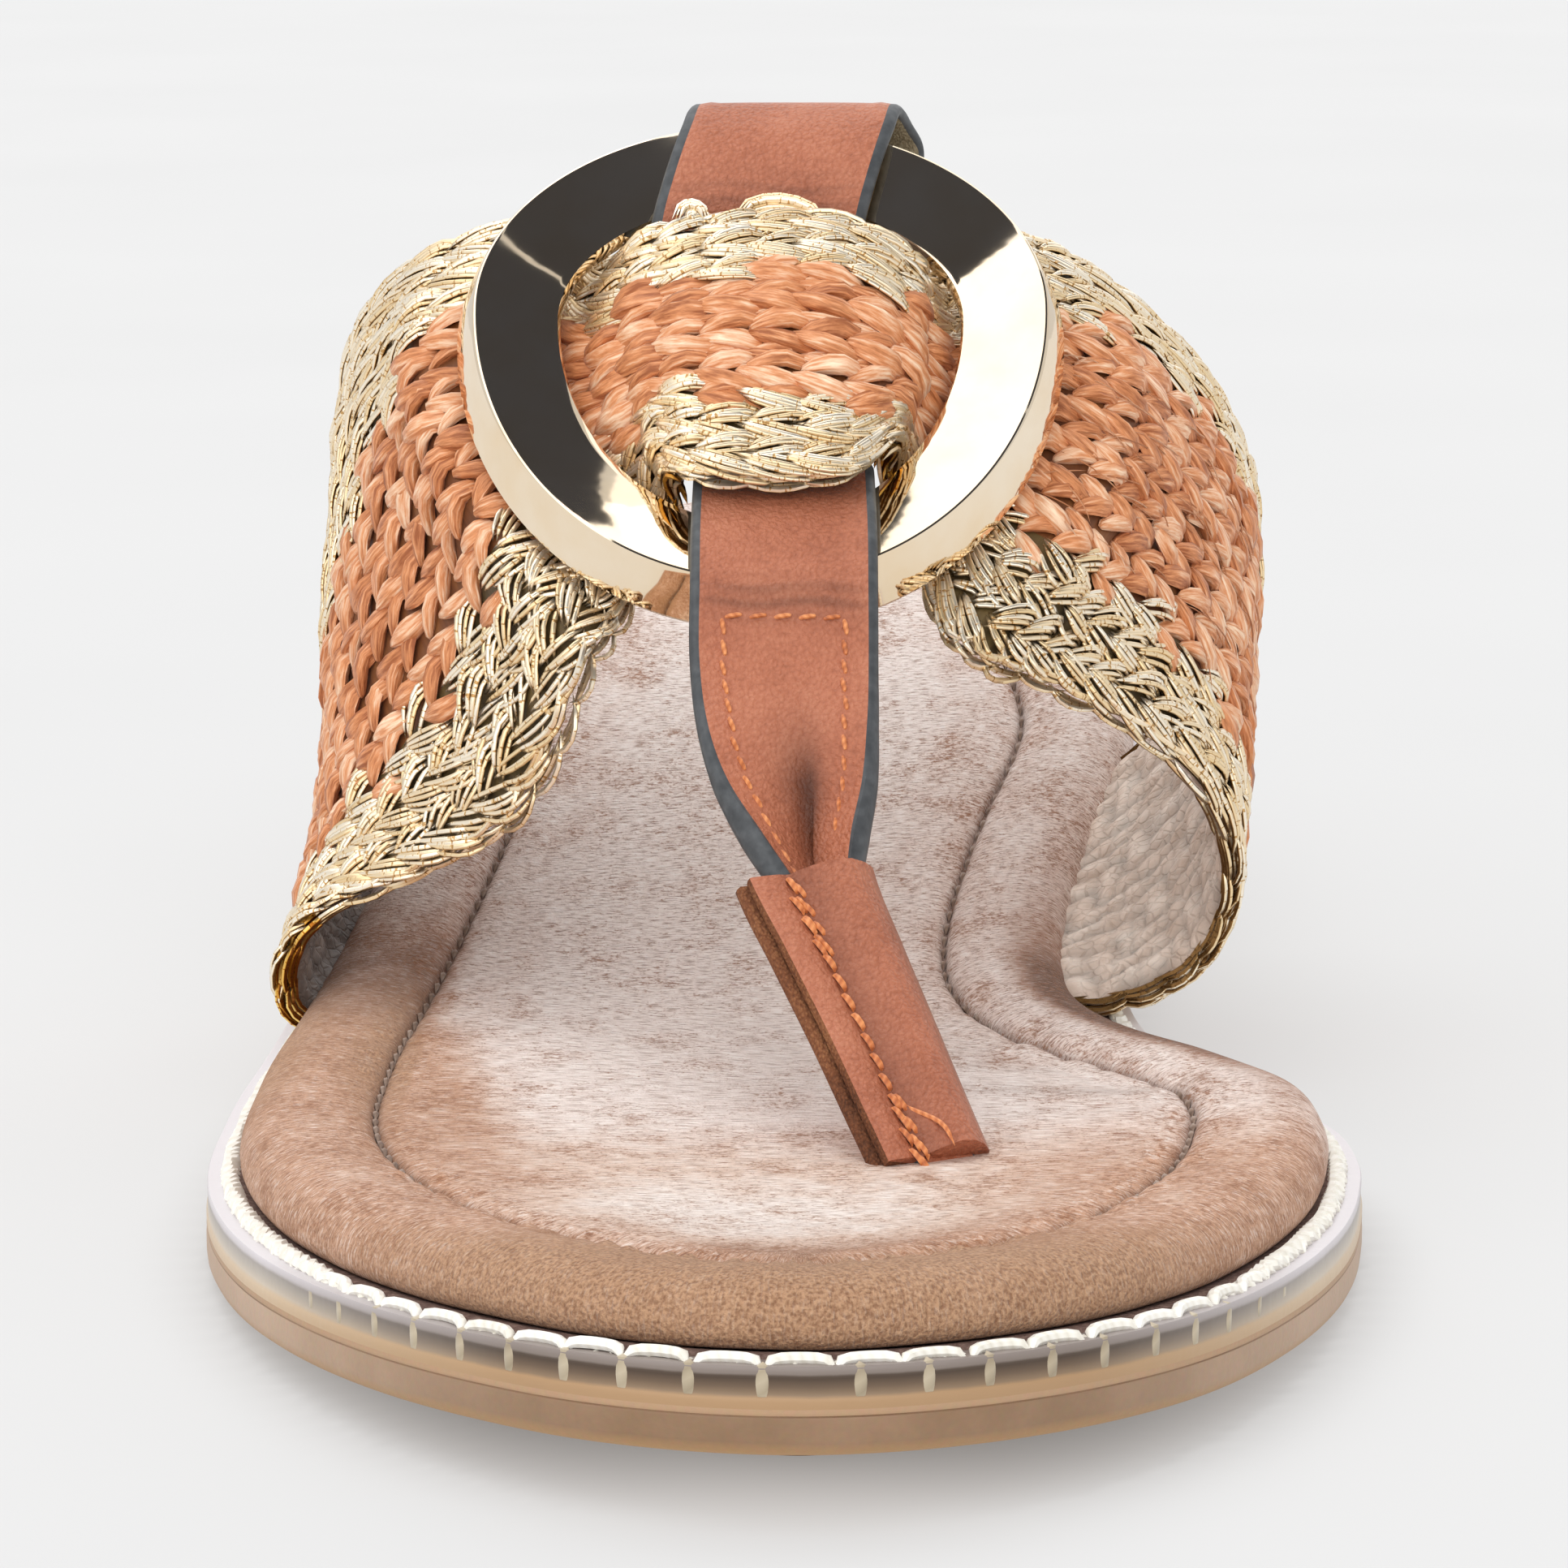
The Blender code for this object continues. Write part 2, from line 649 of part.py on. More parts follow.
def post_sleeve():
    frames = strap_stations()[2 * (len(STRAP_LOOP) + SLEEVE_START):]
    outer_sections = []
    inner_sections = []
    for i, frame in enumerate(frames):
        outer, inner = sleeve_points(frame, i / 8)
        seat = welt_top(frame[0][1]) + GAP + INSOLE_RINGS[-1][1] + SLEEVE_SEAT
        if min(point[2] for point in outer) < seat + 1.0:
            break
        outer_sections.append(outer)
        inner_sections.append(inner)
        ahead = frame[1]
    outer_sections.append(level_end(outer_sections[-1], ahead, seat))
    inner_sections.append(level_end(inner_sections[-1], ahead, seat))
    bm = bmesh.new()
    loft(bm, outer_sections + inner_sections[::-1], closed=True)
    return finish(bm, "post_sleeve", parts, ((0.46, 0.15, 0.07), 0.5, 0.0))


outsole()
welt()
footbed = insole()
cut(footbed, foot_cutter("lateral_foot_cutter", False))
cut(footbed, foot_cutter("medial_foot_cutter", True))
cut(footbed, tail_cutter())
band()
ring()
keeper_loop()
toe_strap()
post_sleeve()
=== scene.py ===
import math
from functools import partial

import bmesh
import bpy
import numpy as np
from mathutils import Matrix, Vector


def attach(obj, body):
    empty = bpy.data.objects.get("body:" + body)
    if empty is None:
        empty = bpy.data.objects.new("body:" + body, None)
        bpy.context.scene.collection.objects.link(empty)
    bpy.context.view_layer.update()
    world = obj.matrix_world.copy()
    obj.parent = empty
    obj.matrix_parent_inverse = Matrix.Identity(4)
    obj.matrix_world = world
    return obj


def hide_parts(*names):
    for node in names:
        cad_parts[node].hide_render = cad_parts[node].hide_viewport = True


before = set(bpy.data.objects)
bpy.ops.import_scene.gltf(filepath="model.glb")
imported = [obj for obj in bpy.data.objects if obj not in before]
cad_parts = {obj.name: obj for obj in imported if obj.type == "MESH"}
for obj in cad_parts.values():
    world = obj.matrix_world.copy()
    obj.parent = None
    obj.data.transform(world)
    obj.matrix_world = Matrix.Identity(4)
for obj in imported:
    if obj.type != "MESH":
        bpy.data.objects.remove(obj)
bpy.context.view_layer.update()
scene = bpy.context.scene
mm = 0.001
toeTip = -0.125  # the shoe runs from here towards +Y
chance = np.random.default_rng(11)


# Small helpers
def linear(hexColour):
    parts = [int(hexColour[i:i + 2], 16) / 255 for i in (1, 3, 5)]
    return tuple(c / 12.92 if c <= 0.04045 else ((c + 0.055) / 1.055) ** 2.4 for c in parts) + (1.0,)


def setInputs(tree, node, inputs):
    # inputs by name or in order; a hex colour is made linear, a node stands for its first output
    for key, value in inputs.items() if isinstance(inputs, dict) else enumerate(inputs):
        value = linear(value) if isinstance(value, str) else value
        value = value.outputs[0] if isinstance(value, bpy.types.Node) else value
        if isinstance(value, bpy.types.NodeSocket):
            tree.links.new(value, node.inputs[key])
        else:
            node.inputs[key].default_value = value


def addNode(tree, kind, inputs=(), stops=(), **settings):
    node = tree.nodes.new("ShaderNode" + kind)
    for key, value in settings.items():
        setattr(node, key, value)
    setInputs(tree, node, inputs)
    for i, (position, colour) in enumerate(stops):
        ramp = node.color_ramp.elements
        stop = ramp[i] if i < 2 else ramp.new(position)
        stop.position = position
        stop.color = linear(colour)
    return node


def setShader(material, inputs):
    setInputs(material.node_tree, material.node_tree.nodes["Principled BSDF"], inputs)


def startMaterial(name, inputs):
    material = bpy.data.materials.new(name)
    material.use_nodes = True
    setShader(material, inputs)
    return material, partial(addNode, material.node_tree)


def dress(material, colour, height, strength, depth, **more):  # base colour and fine relief, its depth in mm
    bump = addNode(material.node_tree, "Bump", {"Height": height, "Strength": strength, "Distance": depth * mm})
    setShader(material, {"Base Color": colour, "Normal": bump, **more})
    return material


def unit(vectors):
    return vectors / np.maximum(np.linalg.norm(vectors, axis=-1, keepdims=True), 1e-12)


def ease(s):
    s = np.clip(s, 0.0, 1.0)
    return s * s * (3 - 2 * s)


def throughRows(knots, rows, at):  # smooth curve through table rows
    knots, rows, at = np.asarray(knots, float), np.asarray(rows, float), np.atleast_1d(at)
    slopes = np.gradient(rows, knots, axis=0)
    i = np.clip(np.searchsorted(knots, at) - 1, 0, len(knots) - 2)
    shape = (len(at),) + (1,) * (rows.ndim - 1)
    span = (knots[i + 1] - knots[i]).reshape(shape)
    s = (at - knots[i]).reshape(shape) / span
    near = (1 + 2 * s) * (1 - s) ** 2 * rows[i] + s * (1 - s) ** 2 * span * slopes[i]
    return near + s * s * (3 - 2 * s) * rows[i + 1] + s * s * (s - 1) * span * slopes[i + 1]


def between(at, knots, rows):  # straight lines through table rows
    return np.stack([np.interp(at, knots, column) for column in rows.T], axis=-1)


def wander(spread, count):
    return chance.normal(0, spread, (count, 1))


def vary(low, high, count):
    return chance.uniform(low, high, (count, 1))


def pathLength(points):
    steps = np.linalg.norm(np.diff(points, axis=0), axis=-1)
    return np.concatenate([[0.0], np.cumsum(steps)])


def place(points):  # across, along from the toe tip, height in mm -> metres in the frame
    placed = np.array(points, float) * mm
    placed[..., 1] += toeTip
    return placed


def raised(spots, height):  # points on the ground plan, each with its height
    return np.concatenate([spots, height[..., None]], axis=-1)


def bentGrid(points, paint=None, values=None):
    # a flat grid bent to points[row, column]; UVs in metres along the surface, values go to point attributes
    rows, columns = points.shape[:2]
    bm = bmesh.new()
    uv = bm.loops.layers.uv.new("UVMap")
    layers = {name: bm.verts.layers.float.new(name) for name in values or ()}
    bmesh.ops.create_grid(bm, x_segments=columns - 1, y_segments=rows - 1, size=1, calc_uvs=True)
    for vert, point in zip(bm.verts, points.reshape(-1, 3)):
        vert.co = point
    for name, layer in layers.items():
        for vert, value in zip(bm.verts, np.broadcast_to(values[name], (rows, columns)).ravel()):
            vert[layer] = value
    bm.verts.index_update()
    around = np.concatenate([[0], np.cumsum(np.linalg.norm(np.diff(points, axis=1), axis=2).max(axis=0))])
    along = np.concatenate([[0], np.cumsum(np.linalg.norm(np.diff(points, axis=0), axis=2).mean(axis=1))])
    for i, face in enumerate(bm.faces):
        if paint:
            face.material_index = paint(i // (columns - 1), i % (columns - 1))
        for loop in face.loops:
            loop[uv].uv = (around[loop.vert.index % columns], along[loop.vert.index // columns])
    return bm


def addObject(bm, name, materials):
    mesh = bpy.data.meshes.new(name)
    bm.to_mesh(mesh)
    bm.free()
    for material in materials:
        mesh.materials.append(material)
    made = bpy.data.objects.new(name, mesh)
    scene.collection.objects.link(made)
    return made


def finishPiece(bm, name, materials, node=None, sharp=40):
    bmesh.ops.remove_doubles(bm, verts=bm.verts[:], dist=2e-6)
    bmesh.ops.recalc_face_normals(bm, faces=bm.faces[:])
    piece = addObject(bm, name, [mats[key] for key in materials])
    piece.data.shade_smooth()
    piece.data.set_sharp_from_angle(angle=math.radians(sharp))
    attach(piece, "root")
    if node:
        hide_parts(node)
    print("made", name, len(piece.data.polygons), "faces")
    return piece


def makeStrands(name, material, slot, paths, normals, widths, heights, sides, ripple=None, sharp=40):
    # many strands from one small grid; u is the strand's number plus its turn, v is metres along it
    paths = place(paths)
    count, steps = paths.shape[:2]
    ahead = unit(np.gradient(paths, axis=1))
    across = unit(np.cross(ahead, normals))
    out = np.cross(across, ahead)
    turn = np.linspace(0, 2 * np.pi, sides + 1)
    lobes = np.ones((1, 1, sides + 1)) if ripple is None else ripple(turn)
    sideways = (widths[..., None] * np.cos(turn) * lobes)[..., None]
    upwards = (heights[..., None] * np.sin(turn) * lobes)[..., None]
    points = paths[:, :, None] + across[:, :, None] * sideways + out[:, :, None] * upwards
    pattern = bmesh.new()
    pattern.loops.layers.uv.new("UVMap")
    bmesh.ops.create_grid(pattern, x_segments=sides, y_segments=steps - 1, size=1, calc_uvs=True)
    strand = bpy.data.meshes.new("strandPattern")
    pattern.to_mesh(strand)
    pattern.free()
    bm = bmesh.new()
    for _ in range(count):
        bm.from_mesh(strand)
    for vert, point in zip(bm.verts, points.reshape(-1, 3)):
        vert.co = point
    bpy.data.meshes.remove(strand)
    uv = bm.loops.layers.uv["UVMap"]
    lengths = np.linalg.norm(np.diff(paths, axis=1), axis=2).sum(axis=1)
    perStrand = sides * (steps - 1)
    for i, face in enumerate(bm.faces):
        number = i // perStrand
        for loop in face.loops:
            spot = loop[uv].uv
            loop[uv].uv = (number + 0.02 + 0.96 * spot.x, spot.y * lengths[number])
    finishPiece(bm, name, [material], sharp=sharp)


# Camera and studio
# the floor glows evenly, less inside the painted contact shadow under the sole
studio = {"elevation": 12.0, "lookAt": (0.0, -0.0755, 0.042), "distance": 0.42, "halfFrame": 966 / 6853,
          "world": 0.72, "backdrop": 0.879, "glow": 0.46, "paintedShadowGlow": 0.16, "floorDrop": 0.04, "flagHeight": 0.67}
softboxes = (("overheadSoftbox", 0.8, 60.0, (0.3, -0.12, -0.94)), ("frontSoftbox", 1.9, 100.0, (0.17, 0.9, -0.36)),
             ("backSoftbox", 0.7, 70.0, (-0.1, -0.75, -0.6)))  # power, spread in degrees, heading
flags = (("flagFront", (-0.36, -1.1), (0.03, -0.17)), ("flagFrontRight", (0.045, -1.1), (0.8, -0.17)),
         ("flagRight", (0.09, -0.16), (0.8, 0.14)), ("flagBack", (-0.17, 0.15), (-0.05, 0.30)))  # two corners


def makeCamera():
    camera = bpy.data.cameras.new("camera")
    camera.sensor_fit = "HORIZONTAL"
    camera.angle = 2 * math.atan(studio["halfFrame"])
    camera.clip_start = 0.01
    holder = bpy.data.objects.new("camera", camera)
    scene.collection.objects.link(holder)
    rise = math.radians(studio["elevation"])
    target = Vector(studio["lookAt"])
    holder.location = target + Vector((0, -math.cos(rise), math.sin(rise))) * studio["distance"]
    holder.rotation_euler = (target - holder.location).to_track_quat("-Z", "Y").to_euler()
    scene.camera = holder


def softSun(name, power, spread, heading):  # a very wide source, so shadows stay soft
    light = bpy.data.lights.new(name, "SUN")
    light.energy = power
    light.angle = math.radians(spread)
    holder = bpy.data.objects.new(name, light)
    holder.rotation_euler = Vector(heading).to_track_quat("-Z", "Y").to_euler()
    scene.collection.objects.link(holder)


def makeStudio():
    scene.view_settings.view_transform = "Standard"
    world = bpy.data.worlds.new("studio")
    world.use_nodes = True
    ray = addNode(world.node_tree, "LightPath").outputs["Is Camera Ray"]
    # the backdrop matches the floor, the light stays softer
    levels = {"Value": ray, "To Min": studio["world"], "To Max": studio["backdrop"]}
    strength = addNode(world.node_tree, "MapRange", levels)
    setInputs(world.node_tree, world.node_tree.nodes["Background"], {"Color": "#FEFEFE", "Strength": strength})
    scene.world = world
    for softbox in softboxes:
        softSun(*softbox)
    # light table under matt paper: almost white, with a faint mottle; its glow drops under the sole to paint a
    # contact shadow
    paper, add = startMaterial("litPaper", {
        "Roughness": 0.95, "Specular IOR Level": 0.0, "Emission Color": "#FFFFFF"})
    mottle = add("TexNoise", {"Vector": add("TexCoord").outputs["Object"], "Scale": 9.0, "Detail": 2.0})
    tone = add("ValToRGB", (mottle,), [(0.3, "#969696"), (0.7, "#999999")])
    # painted contact shadow: the glow drops where the sole covers the floor
    paintedContactShadow = add("Attribute", attribute_name="paintedContactShadow").outputs["Fac"]
    glow = add("MapRange", {"Value": paintedContactShadow, "To Min": studio["glow"], "To Max": studio["paintedShadowGlow"]})
    setShader(paper, {"Base Color": tone, "Emission Strength": glow})
    bm = bmesh.new()
    bmesh.ops.create_grid(bm, x_segments=8, y_segments=8, size=4.0)
    bmesh.ops.translate(bm, vec=(0, 0, -studio["floorDrop"] * mm), verts=bm.verts[:])
    floor = addObject(bm, "paperFloor", [paper])
    # dark flags over the shoe: only mirror-like surfaces see them
    flag, _ = startMaterial("flagCloth", {"Base Color": "#3A3C44", "Roughness": 0.9})
    for name, low, high in flags:
        bm = bmesh.new()
        bmesh.ops.create_grid(bm, x_segments=2, y_segments=2, size=0.5)
        bmesh.ops.scale(bm, vec=(high[0] - low[0], high[1] - low[1], 1), verts=bm.verts[:])
        middle = ((low[0] + high[0]) / 2, (low[1] + high[1]) / 2, studio["flagHeight"])
        bmesh.ops.translate(bm, vec=middle, verts=bm.verts[:])
        card = addObject(bm, name, [flag])
        card.visible_camera = card.visible_diffuse = card.visible_shadow = False
    print("studio ready")
    return paper


makeCamera()
paper = makeStudio()


# Materials
def rubberMaterial():
    # moulded tan rubber: satin skin, fine mould texture; painted darker on its front wall as shade, and painted warm
    # along its lower edge as light let through
    material, add = startMaterial("mouldedRubber", {"Roughness": 0.5, "IOR": 1.45})
    coord = add("TexCoord").outputs
    names = ("fromTop", "fromFloor")
    fromTop, fromFloor = (add("Attribute", attribute_name=name).outputs["Fac"] for name in names)
    cloud = add("TexNoise", {"Vector": coord["Object"], "Scale": 1 / (8 * mm), "Detail": 4.0})
    wobble = add("Math", (cloud, 0.5, -0.25), operation="MULTIPLY_ADD")
    low = add("Math", (fromFloor, wobble), operation="ADD")
    # front: the front wall's colour, painted darker as shade
    front = add("ValToRGB", (cloud,), [(0.3, "#826549"), (0.7, "#95765B"), (0.5, "#8B6D52")])
    rest = add("ValToRGB", (cloud,), [(0.3, "#B4987F"), (0.7, "#BDA189"), (0.5, "#B89C84")])
    split = add("SeparateXYZ", (coord["Object"],)).outputs
    sideways = add("MapRange", {"Value": split["Y"], "From Min": -0.122, "From Max": -0.09})
    body = add("MixRGB", (sideways, front, rest))
    # painted glow of light through the rubber near its lower edge
    warm = add("MapRange", {"Value": low, "From Min": 1.2, "From Max": 0.2})
    lower = add("MixRGB", (warm, body, "#B48C5E"))
    lip = add("MapRange", {"Value": fromTop, "From Min": 0.42, "From Max": 0.3})
    seam = add("Math", (fromTop, 0.36, 0.07), operation="COMPARE")
    faint = add("Math", (seam, cloud), operation="MULTIPLY")
    lipped = add("MixRGB", (lip, lower, "#B29070"))
    seamed = add("MixRGB", (faint, lipped, "#6E4C2E"))
    grit = add("TexNoise", {"Vector": coord["Object"], "Scale": 1 / (0.5 * mm), "Detail": 4.0})
    tint = add("MixRGB", (0.1, seamed, grit.outputs["Color"]), blend_type="OVERLAY")
    return dress(material, tint, grit, 0.25, 0.15)


def weltMaterial():
    # clear soft plastic moulded over a brown board: glossy skin, tan lower lip; on the front wall its windows are
    # painted dark as the shade seen through the plastic, the sides painted paler as lit
    material, add = startMaterial("clearPlasticWelt", {"Roughness": 0.35, "IOR": 1.4})
    coord = add("TexCoord").outputs
    share = add("Attribute", attribute_name="wallShare").outputs["Fac"]
    cloud = add("TexNoise", {"Vector": coord["Object"], "Scale": 1 / (4 * mm), "Detail": 4.0})
    shifted = add("Math", (cloud, 0.08, -0.04), operation="MULTIPLY_ADD")
    level = add("Math", (share, shifted), operation="ADD")
    # front: dark windows painted as the shade seen through the clear wall
    front = add("ValToRGB", (level,), [
        (0.0, "#AE8C68"), (1.0, "#8E837D"), (0.22, "#AE8C68"), (0.3, "#8C755D"), (0.5, "#6B5847"),
        (0.7, "#4E3F33"), (0.76, "#54463B"), (0.82, "#83776F")])
    side = add("ValToRGB", (level,), [
        (0.0, "#C9AD8A"), (1.0, "#D3CDD0"), (0.22, "#CDB597"), (0.32, "#C9BBA9"), (0.55, "#B5AB9F"),
        (0.76, "#A39A93"), (0.86, "#CBC4C6")])
    split = add("SeparateXYZ", (coord["Object"],)).outputs
    sideways = add("MapRange", {"Value": split["Y"], "From Min": -0.117, "From Max": -0.088})
    mixed = add("MixRGB", (sideways, front, side))
    waves = add("TexNoise", {"Vector": coord["Object"], "Scale": 1 / (2.2 * mm), "Detail": 2.0})
    return dress(material, mixed, waves, 0.35, 0.25)


def boardMaterial():
    # rough brown fibre board under the footbed's edge
    material, add = startMaterial("fibreBoard", {"Roughness": 0.9, "Specular IOR Level": 0.2})
    coord = add("TexCoord").outputs["Object"]
    fibre = add("TexNoise", {"Vector": coord, "Scale": 1 / (0.6 * mm), "Detail": 5.0, "Roughness": 0.7})
    colour = add("ValToRGB", (fibre,), [(0.3, "#5C4640"), (0.7, "#9B8276"), (0.5, "#79625A")])
    return dress(material, colour, fibre, 0.8, 0.3)


def strandTone(add):
    # UV, its two parts and one random value a strand
    coord = add("TexCoord").outputs["UV"]
    split = add("SeparateXYZ", (coord,)).outputs
    strand = add("Math", (split["X"],), operation="FLOOR")
    return coord, split, add("TexWhiteNoise", {"W": strand}, noise_dimensions="1D")


def threadMaterial(name, dark, middle, light, ply, roughness):
    # twisted sewing thread: plies wound at one pitch, the grooves between them painted darker as shade, each stitch a
    # little lighter or darker
    material, add = startMaterial(name, {"Roughness": roughness, "Sheen Weight": 0.2})
    _, split, tone = strandTone(add)
    turns = add("Math", (split["Y"], 1 / ply, split["X"]), operation="MULTIPLY_ADD")
    # ply crests lighter, grooves painted darker as shade
    wave = add("Math", (turns, 0.5), operation="PINGPONG")
    ridge = add("Math", (wave, 0.9, 0.2), operation="MULTIPLY_ADD")
    level = add("Math", (tone, 0.35, ridge), operation="MULTIPLY_ADD")
    colour = add("ValToRGB", (level,), [(0.1, dark), (1.0, light), (0.5, middle)])
    return dress(material, colour, wave, 0.35, 0.1)


def suedeMaterial():
    # brushed suede: short combed hair, brown where the nap is ruffled, tan felt in front; pale where it lies flat,
    # partly its own tone and partly a painted sheen; hair tips carry painted highlights, the gaps between hairs
    # painted shade, the groove and shaded flanks painted shade
    material, add = startMaterial("brushedSuede", {
        "Roughness": 0.9, "Specular IOR Level": 0.15, "Sheen Weight": 0.18, "Sheen Roughness": 0.4,
        "Sheen Tint": "#FFEDE2"})
    coord = add("TexCoord").outputs
    names = ("pale", "cool", "crease")
    pale, cool, crease = (add("Attribute", attribute_name=name).outputs["Fac"] for name in names)
    combed = add("Mapping", {"Vector": coord["UV"], "Scale": (1 / (0.22 * mm), 1 / (1.1 * mm), 1.0)})
    hair = add("TexNoise", {"Vector": combed, "Scale": 1.0, "Detail": 3.0, "Roughness": 0.65})
    tuft = (1 / (0.45 * mm), 1 / (0.42 * mm), 1 / (0.35 * mm))
    stretched = add("Mapping", {"Vector": coord["Object"], "Scale": tuft})
    spots = add("TexNoise", {"Vector": stretched, "Scale": 1.0, "Detail": 3.0, "Roughness": 0.7})
    pores = add("TexNoise", {"Vector": coord["Object"], "Scale": 1 / (0.3 * mm), "Detail": 2.0})
    mottle = add("TexNoise", {"Vector": coord["Object"], "Scale": 1 / (6 * mm), "Detail": 6.0, "Roughness": 0.7})
    drift = add("Math", (mottle, 0.9, -0.45), operation="MULTIPLY_ADD")
    level = add("Math", (pale, drift), operation="ADD", use_clamp=True)
    warm = add("ValToRGB", (level,), [(0.0, "#B98D6E"), (1.0, "#F7EAE2"), (0.35, "#CCA085"), (0.7, "#E6CBBA")])
    rosy = add("ValToRGB", (level,), [(0.0, "#7A5A4A"), (1.0, "#F7E9E2"), (0.35, "#C9A593"), (0.65, "#E6CFC4")])
    ground = add("MixRGB", (cool, warm, rosy))
    ruffled = add("Math", (mottle, 0.8, spots), operation="MULTIPLY_ADD")
    ruffled = add("Math", (pale, 0.1, ruffled), operation="MULTIPLY_ADD")
    parted = add("MapRange", {"Value": ruffled, "From Min": 0.93, "From Max": 0.78, "To Max": 0.85})
    brown = add("MixRGB", (parted, ground, "#A27154"))
    # painted shade in the gaps between hairs
    gaps = add("MapRange", {"Value": hair, "From Min": 0.5, "From Max": 0.32, "To Max": 0.9})
    dark = add("MixRGB", (gaps, brown, "#8A6049"))
    # painted highlights on the hair tips
    tips = add("MapRange", {"Value": hair, "From Min": 0.52, "From Max": 0.68, "To Max": 0.9})
    lying = add("Math", (level, 0.65, 0.35), operation="MULTIPLY_ADD")
    tipped = add("Math", (tips, lying), operation="MULTIPLY")
    light = add("MixRGB", (tipped, dark, "#FFF9F5"))
    flecks = add("TexNoise", {"Vector": coord["Object"], "Scale": 1 / (0.6 * mm), "Detail": 2.0, "Roughness": 0.6})
    clustered = add("Math", (mottle, -0.5, flecks), operation="MULTIPLY_ADD")
    fleck = add("MapRange", {"Value": clustered, "From Min": 0.38, "From Max": 0.46, "To Max": 0.6})
    light = add("MixRGB", (fleck, light, "#9A6A4B"))
    felt = add("ValToRGB", (pores,), [(0.34, "#87634A"), (0.62, "#C29B7A")])
    flat = add("MapRange", {"Value": pale, "From Min": 0.26, "From Max": 0.06, "To Max": 0.75})
    front = add("Math", (1.0, cool), operation="SUBTRACT")
    pressed = add("Math", (flat, front), operation="MULTIPLY")
    speck = add("MixRGB", (pressed, light, felt))
    # painted shade in the groove and on the shaded flanks, from the crease attribute
    pulled = add("Math", (spots, 2.2, -0.35), operation="MULTIPLY_ADD", use_clamp=True)
    seam = add("Math", (crease, pulled), operation="MULTIPLY")
    paintedCreaseShade = add("MixRGB", (seam, speck, "#5E4030"))
    nap = add("Math", (pores, hair), operation="ADD")
    return dress(material, paintedCreaseShade, nap, 0.8, 0.35)


def raffiaMaterial(name, dark, middle, light):
    # rayon raffia ribbon: fine fibres along the strand, silky highlight, each loop a little different
    material, add = startMaterial(name, {"Roughness": 0.48, "Specular IOR Level": 0.4, "Sheen Weight": 0.1})
    coord, _, tone = strandTone(add)
    fibre = add("Mapping", {"Vector": coord, "Scale": (9.0, 1 / (3.5 * mm), 1.0)})
    streak = add("TexNoise", {"Vector": fibre, "Scale": 1.6, "Detail": 4.0, "Roughness": 0.6})
    level = add("Math", (tone, 0.2, -0.1), operation="MULTIPLY_ADD")
    level = add("Math", (streak, level), operation="ADD")
    colour = add("ValToRGB", (level,), [(0.3, dark), (0.74, light), (0.5, middle)])
    return dress(material, colour, streak, 0.8, 0.18)


def goldThreadMaterial(name, dark, low, middle, light):
    # metallised yarn: foil wound round a core, painted bright on top and dark down its sides as light and shade, thin
    # ticks where the foil laps
    material, add = startMaterial(name, {"Metallic": 0.8, "Roughness": 0.28})
    coord, split, tone = strandTone(add)
    # painted light and shade: brighter on the strand's top, darker down its sides
    angle = add("Math", (split["X"], 2 * math.pi), operation="MULTIPLY")
    crown = add("Math", (angle,), operation="SINE")
    top = add("MapRange", {"Value": crown, "From Min": -0.2, "From Max": 0.5, "To Min": 0.05})
    laps = add("Mapping", {"Vector": coord, "Scale": (1.3, 1 / (0.3 * mm), 1.0)})
    lap = add("TexNoise", {"Vector": laps, "Scale": 1.0, "Detail": 1.0})
    tick = add("MapRange", {"Value": lap, "From Min": 0.34, "From Max": 0.4, "To Min": 0.3})
    level = add("Math", (tone, 0.32, 0.5), operation="MULTIPLY_ADD")
    level = add("Math", (level, tick), operation="MULTIPLY")
    level = add("Math", (level, top), operation="MULTIPLY")
    colour = add("ValToRGB", (level,), [(0.0, dark), (0.8, light), (0.2, low), (0.5, middle)])
    return dress(material, colour, tick, 0.4, 0.1)


def leatherMaterial(name, dark, middle, light, roughness, cell=0.45, relief=0.3):
    # smooth full-grain leather: tiny pebbled cells, soft cloudy dye, satin finish, painted shade where it folds or
    # tucks under
    material, add = startMaterial(name, {"Roughness": roughness, "IOR": 1.45})
    coord = add("TexCoord").outputs["Object"]
    shade = add("Attribute", attribute_name="shade").outputs["Fac"]
    cloud = add("TexNoise", {"Vector": coord, "Scale": 1 / (7 * mm), "Detail": 4.0, "Roughness": 0.55})
    bent = add("TexNoise", {"Vector": coord, "Scale": 1 / (0.8 * mm), "Detail": 2.0})
    warp = add("MixRGB", (0.0004, coord, bent.outputs["Color"]), blend_type="ADD")
    cells = add("TexVoronoi", {"Vector": warp, "Scale": 1 / (cell * mm)}, feature="F1")
    fine = add("TexNoise", {"Vector": coord, "Scale": 1 / (0.25 * mm), "Detail": 3.0})
    level = add("Math", (cells, -0.45, cloud), operation="MULTIPLY_ADD")
    level = add("Math", (fine, 0.4, level), operation="MULTIPLY_ADD")
    colour = add("ValToRGB", (level,), [(0.1, dark), (0.95, light), (0.52, middle)])
    # painted shade from the shade attribute: folds, tucks and the sleeve's tube
    folded = add("MixRGB", (shade, colour, "#3E1D0E"))
    grain = add("Math", (cells, -0.8, fine), operation="MULTIPLY_ADD")
    return dress(material, folded, grain, 0.6, relief)


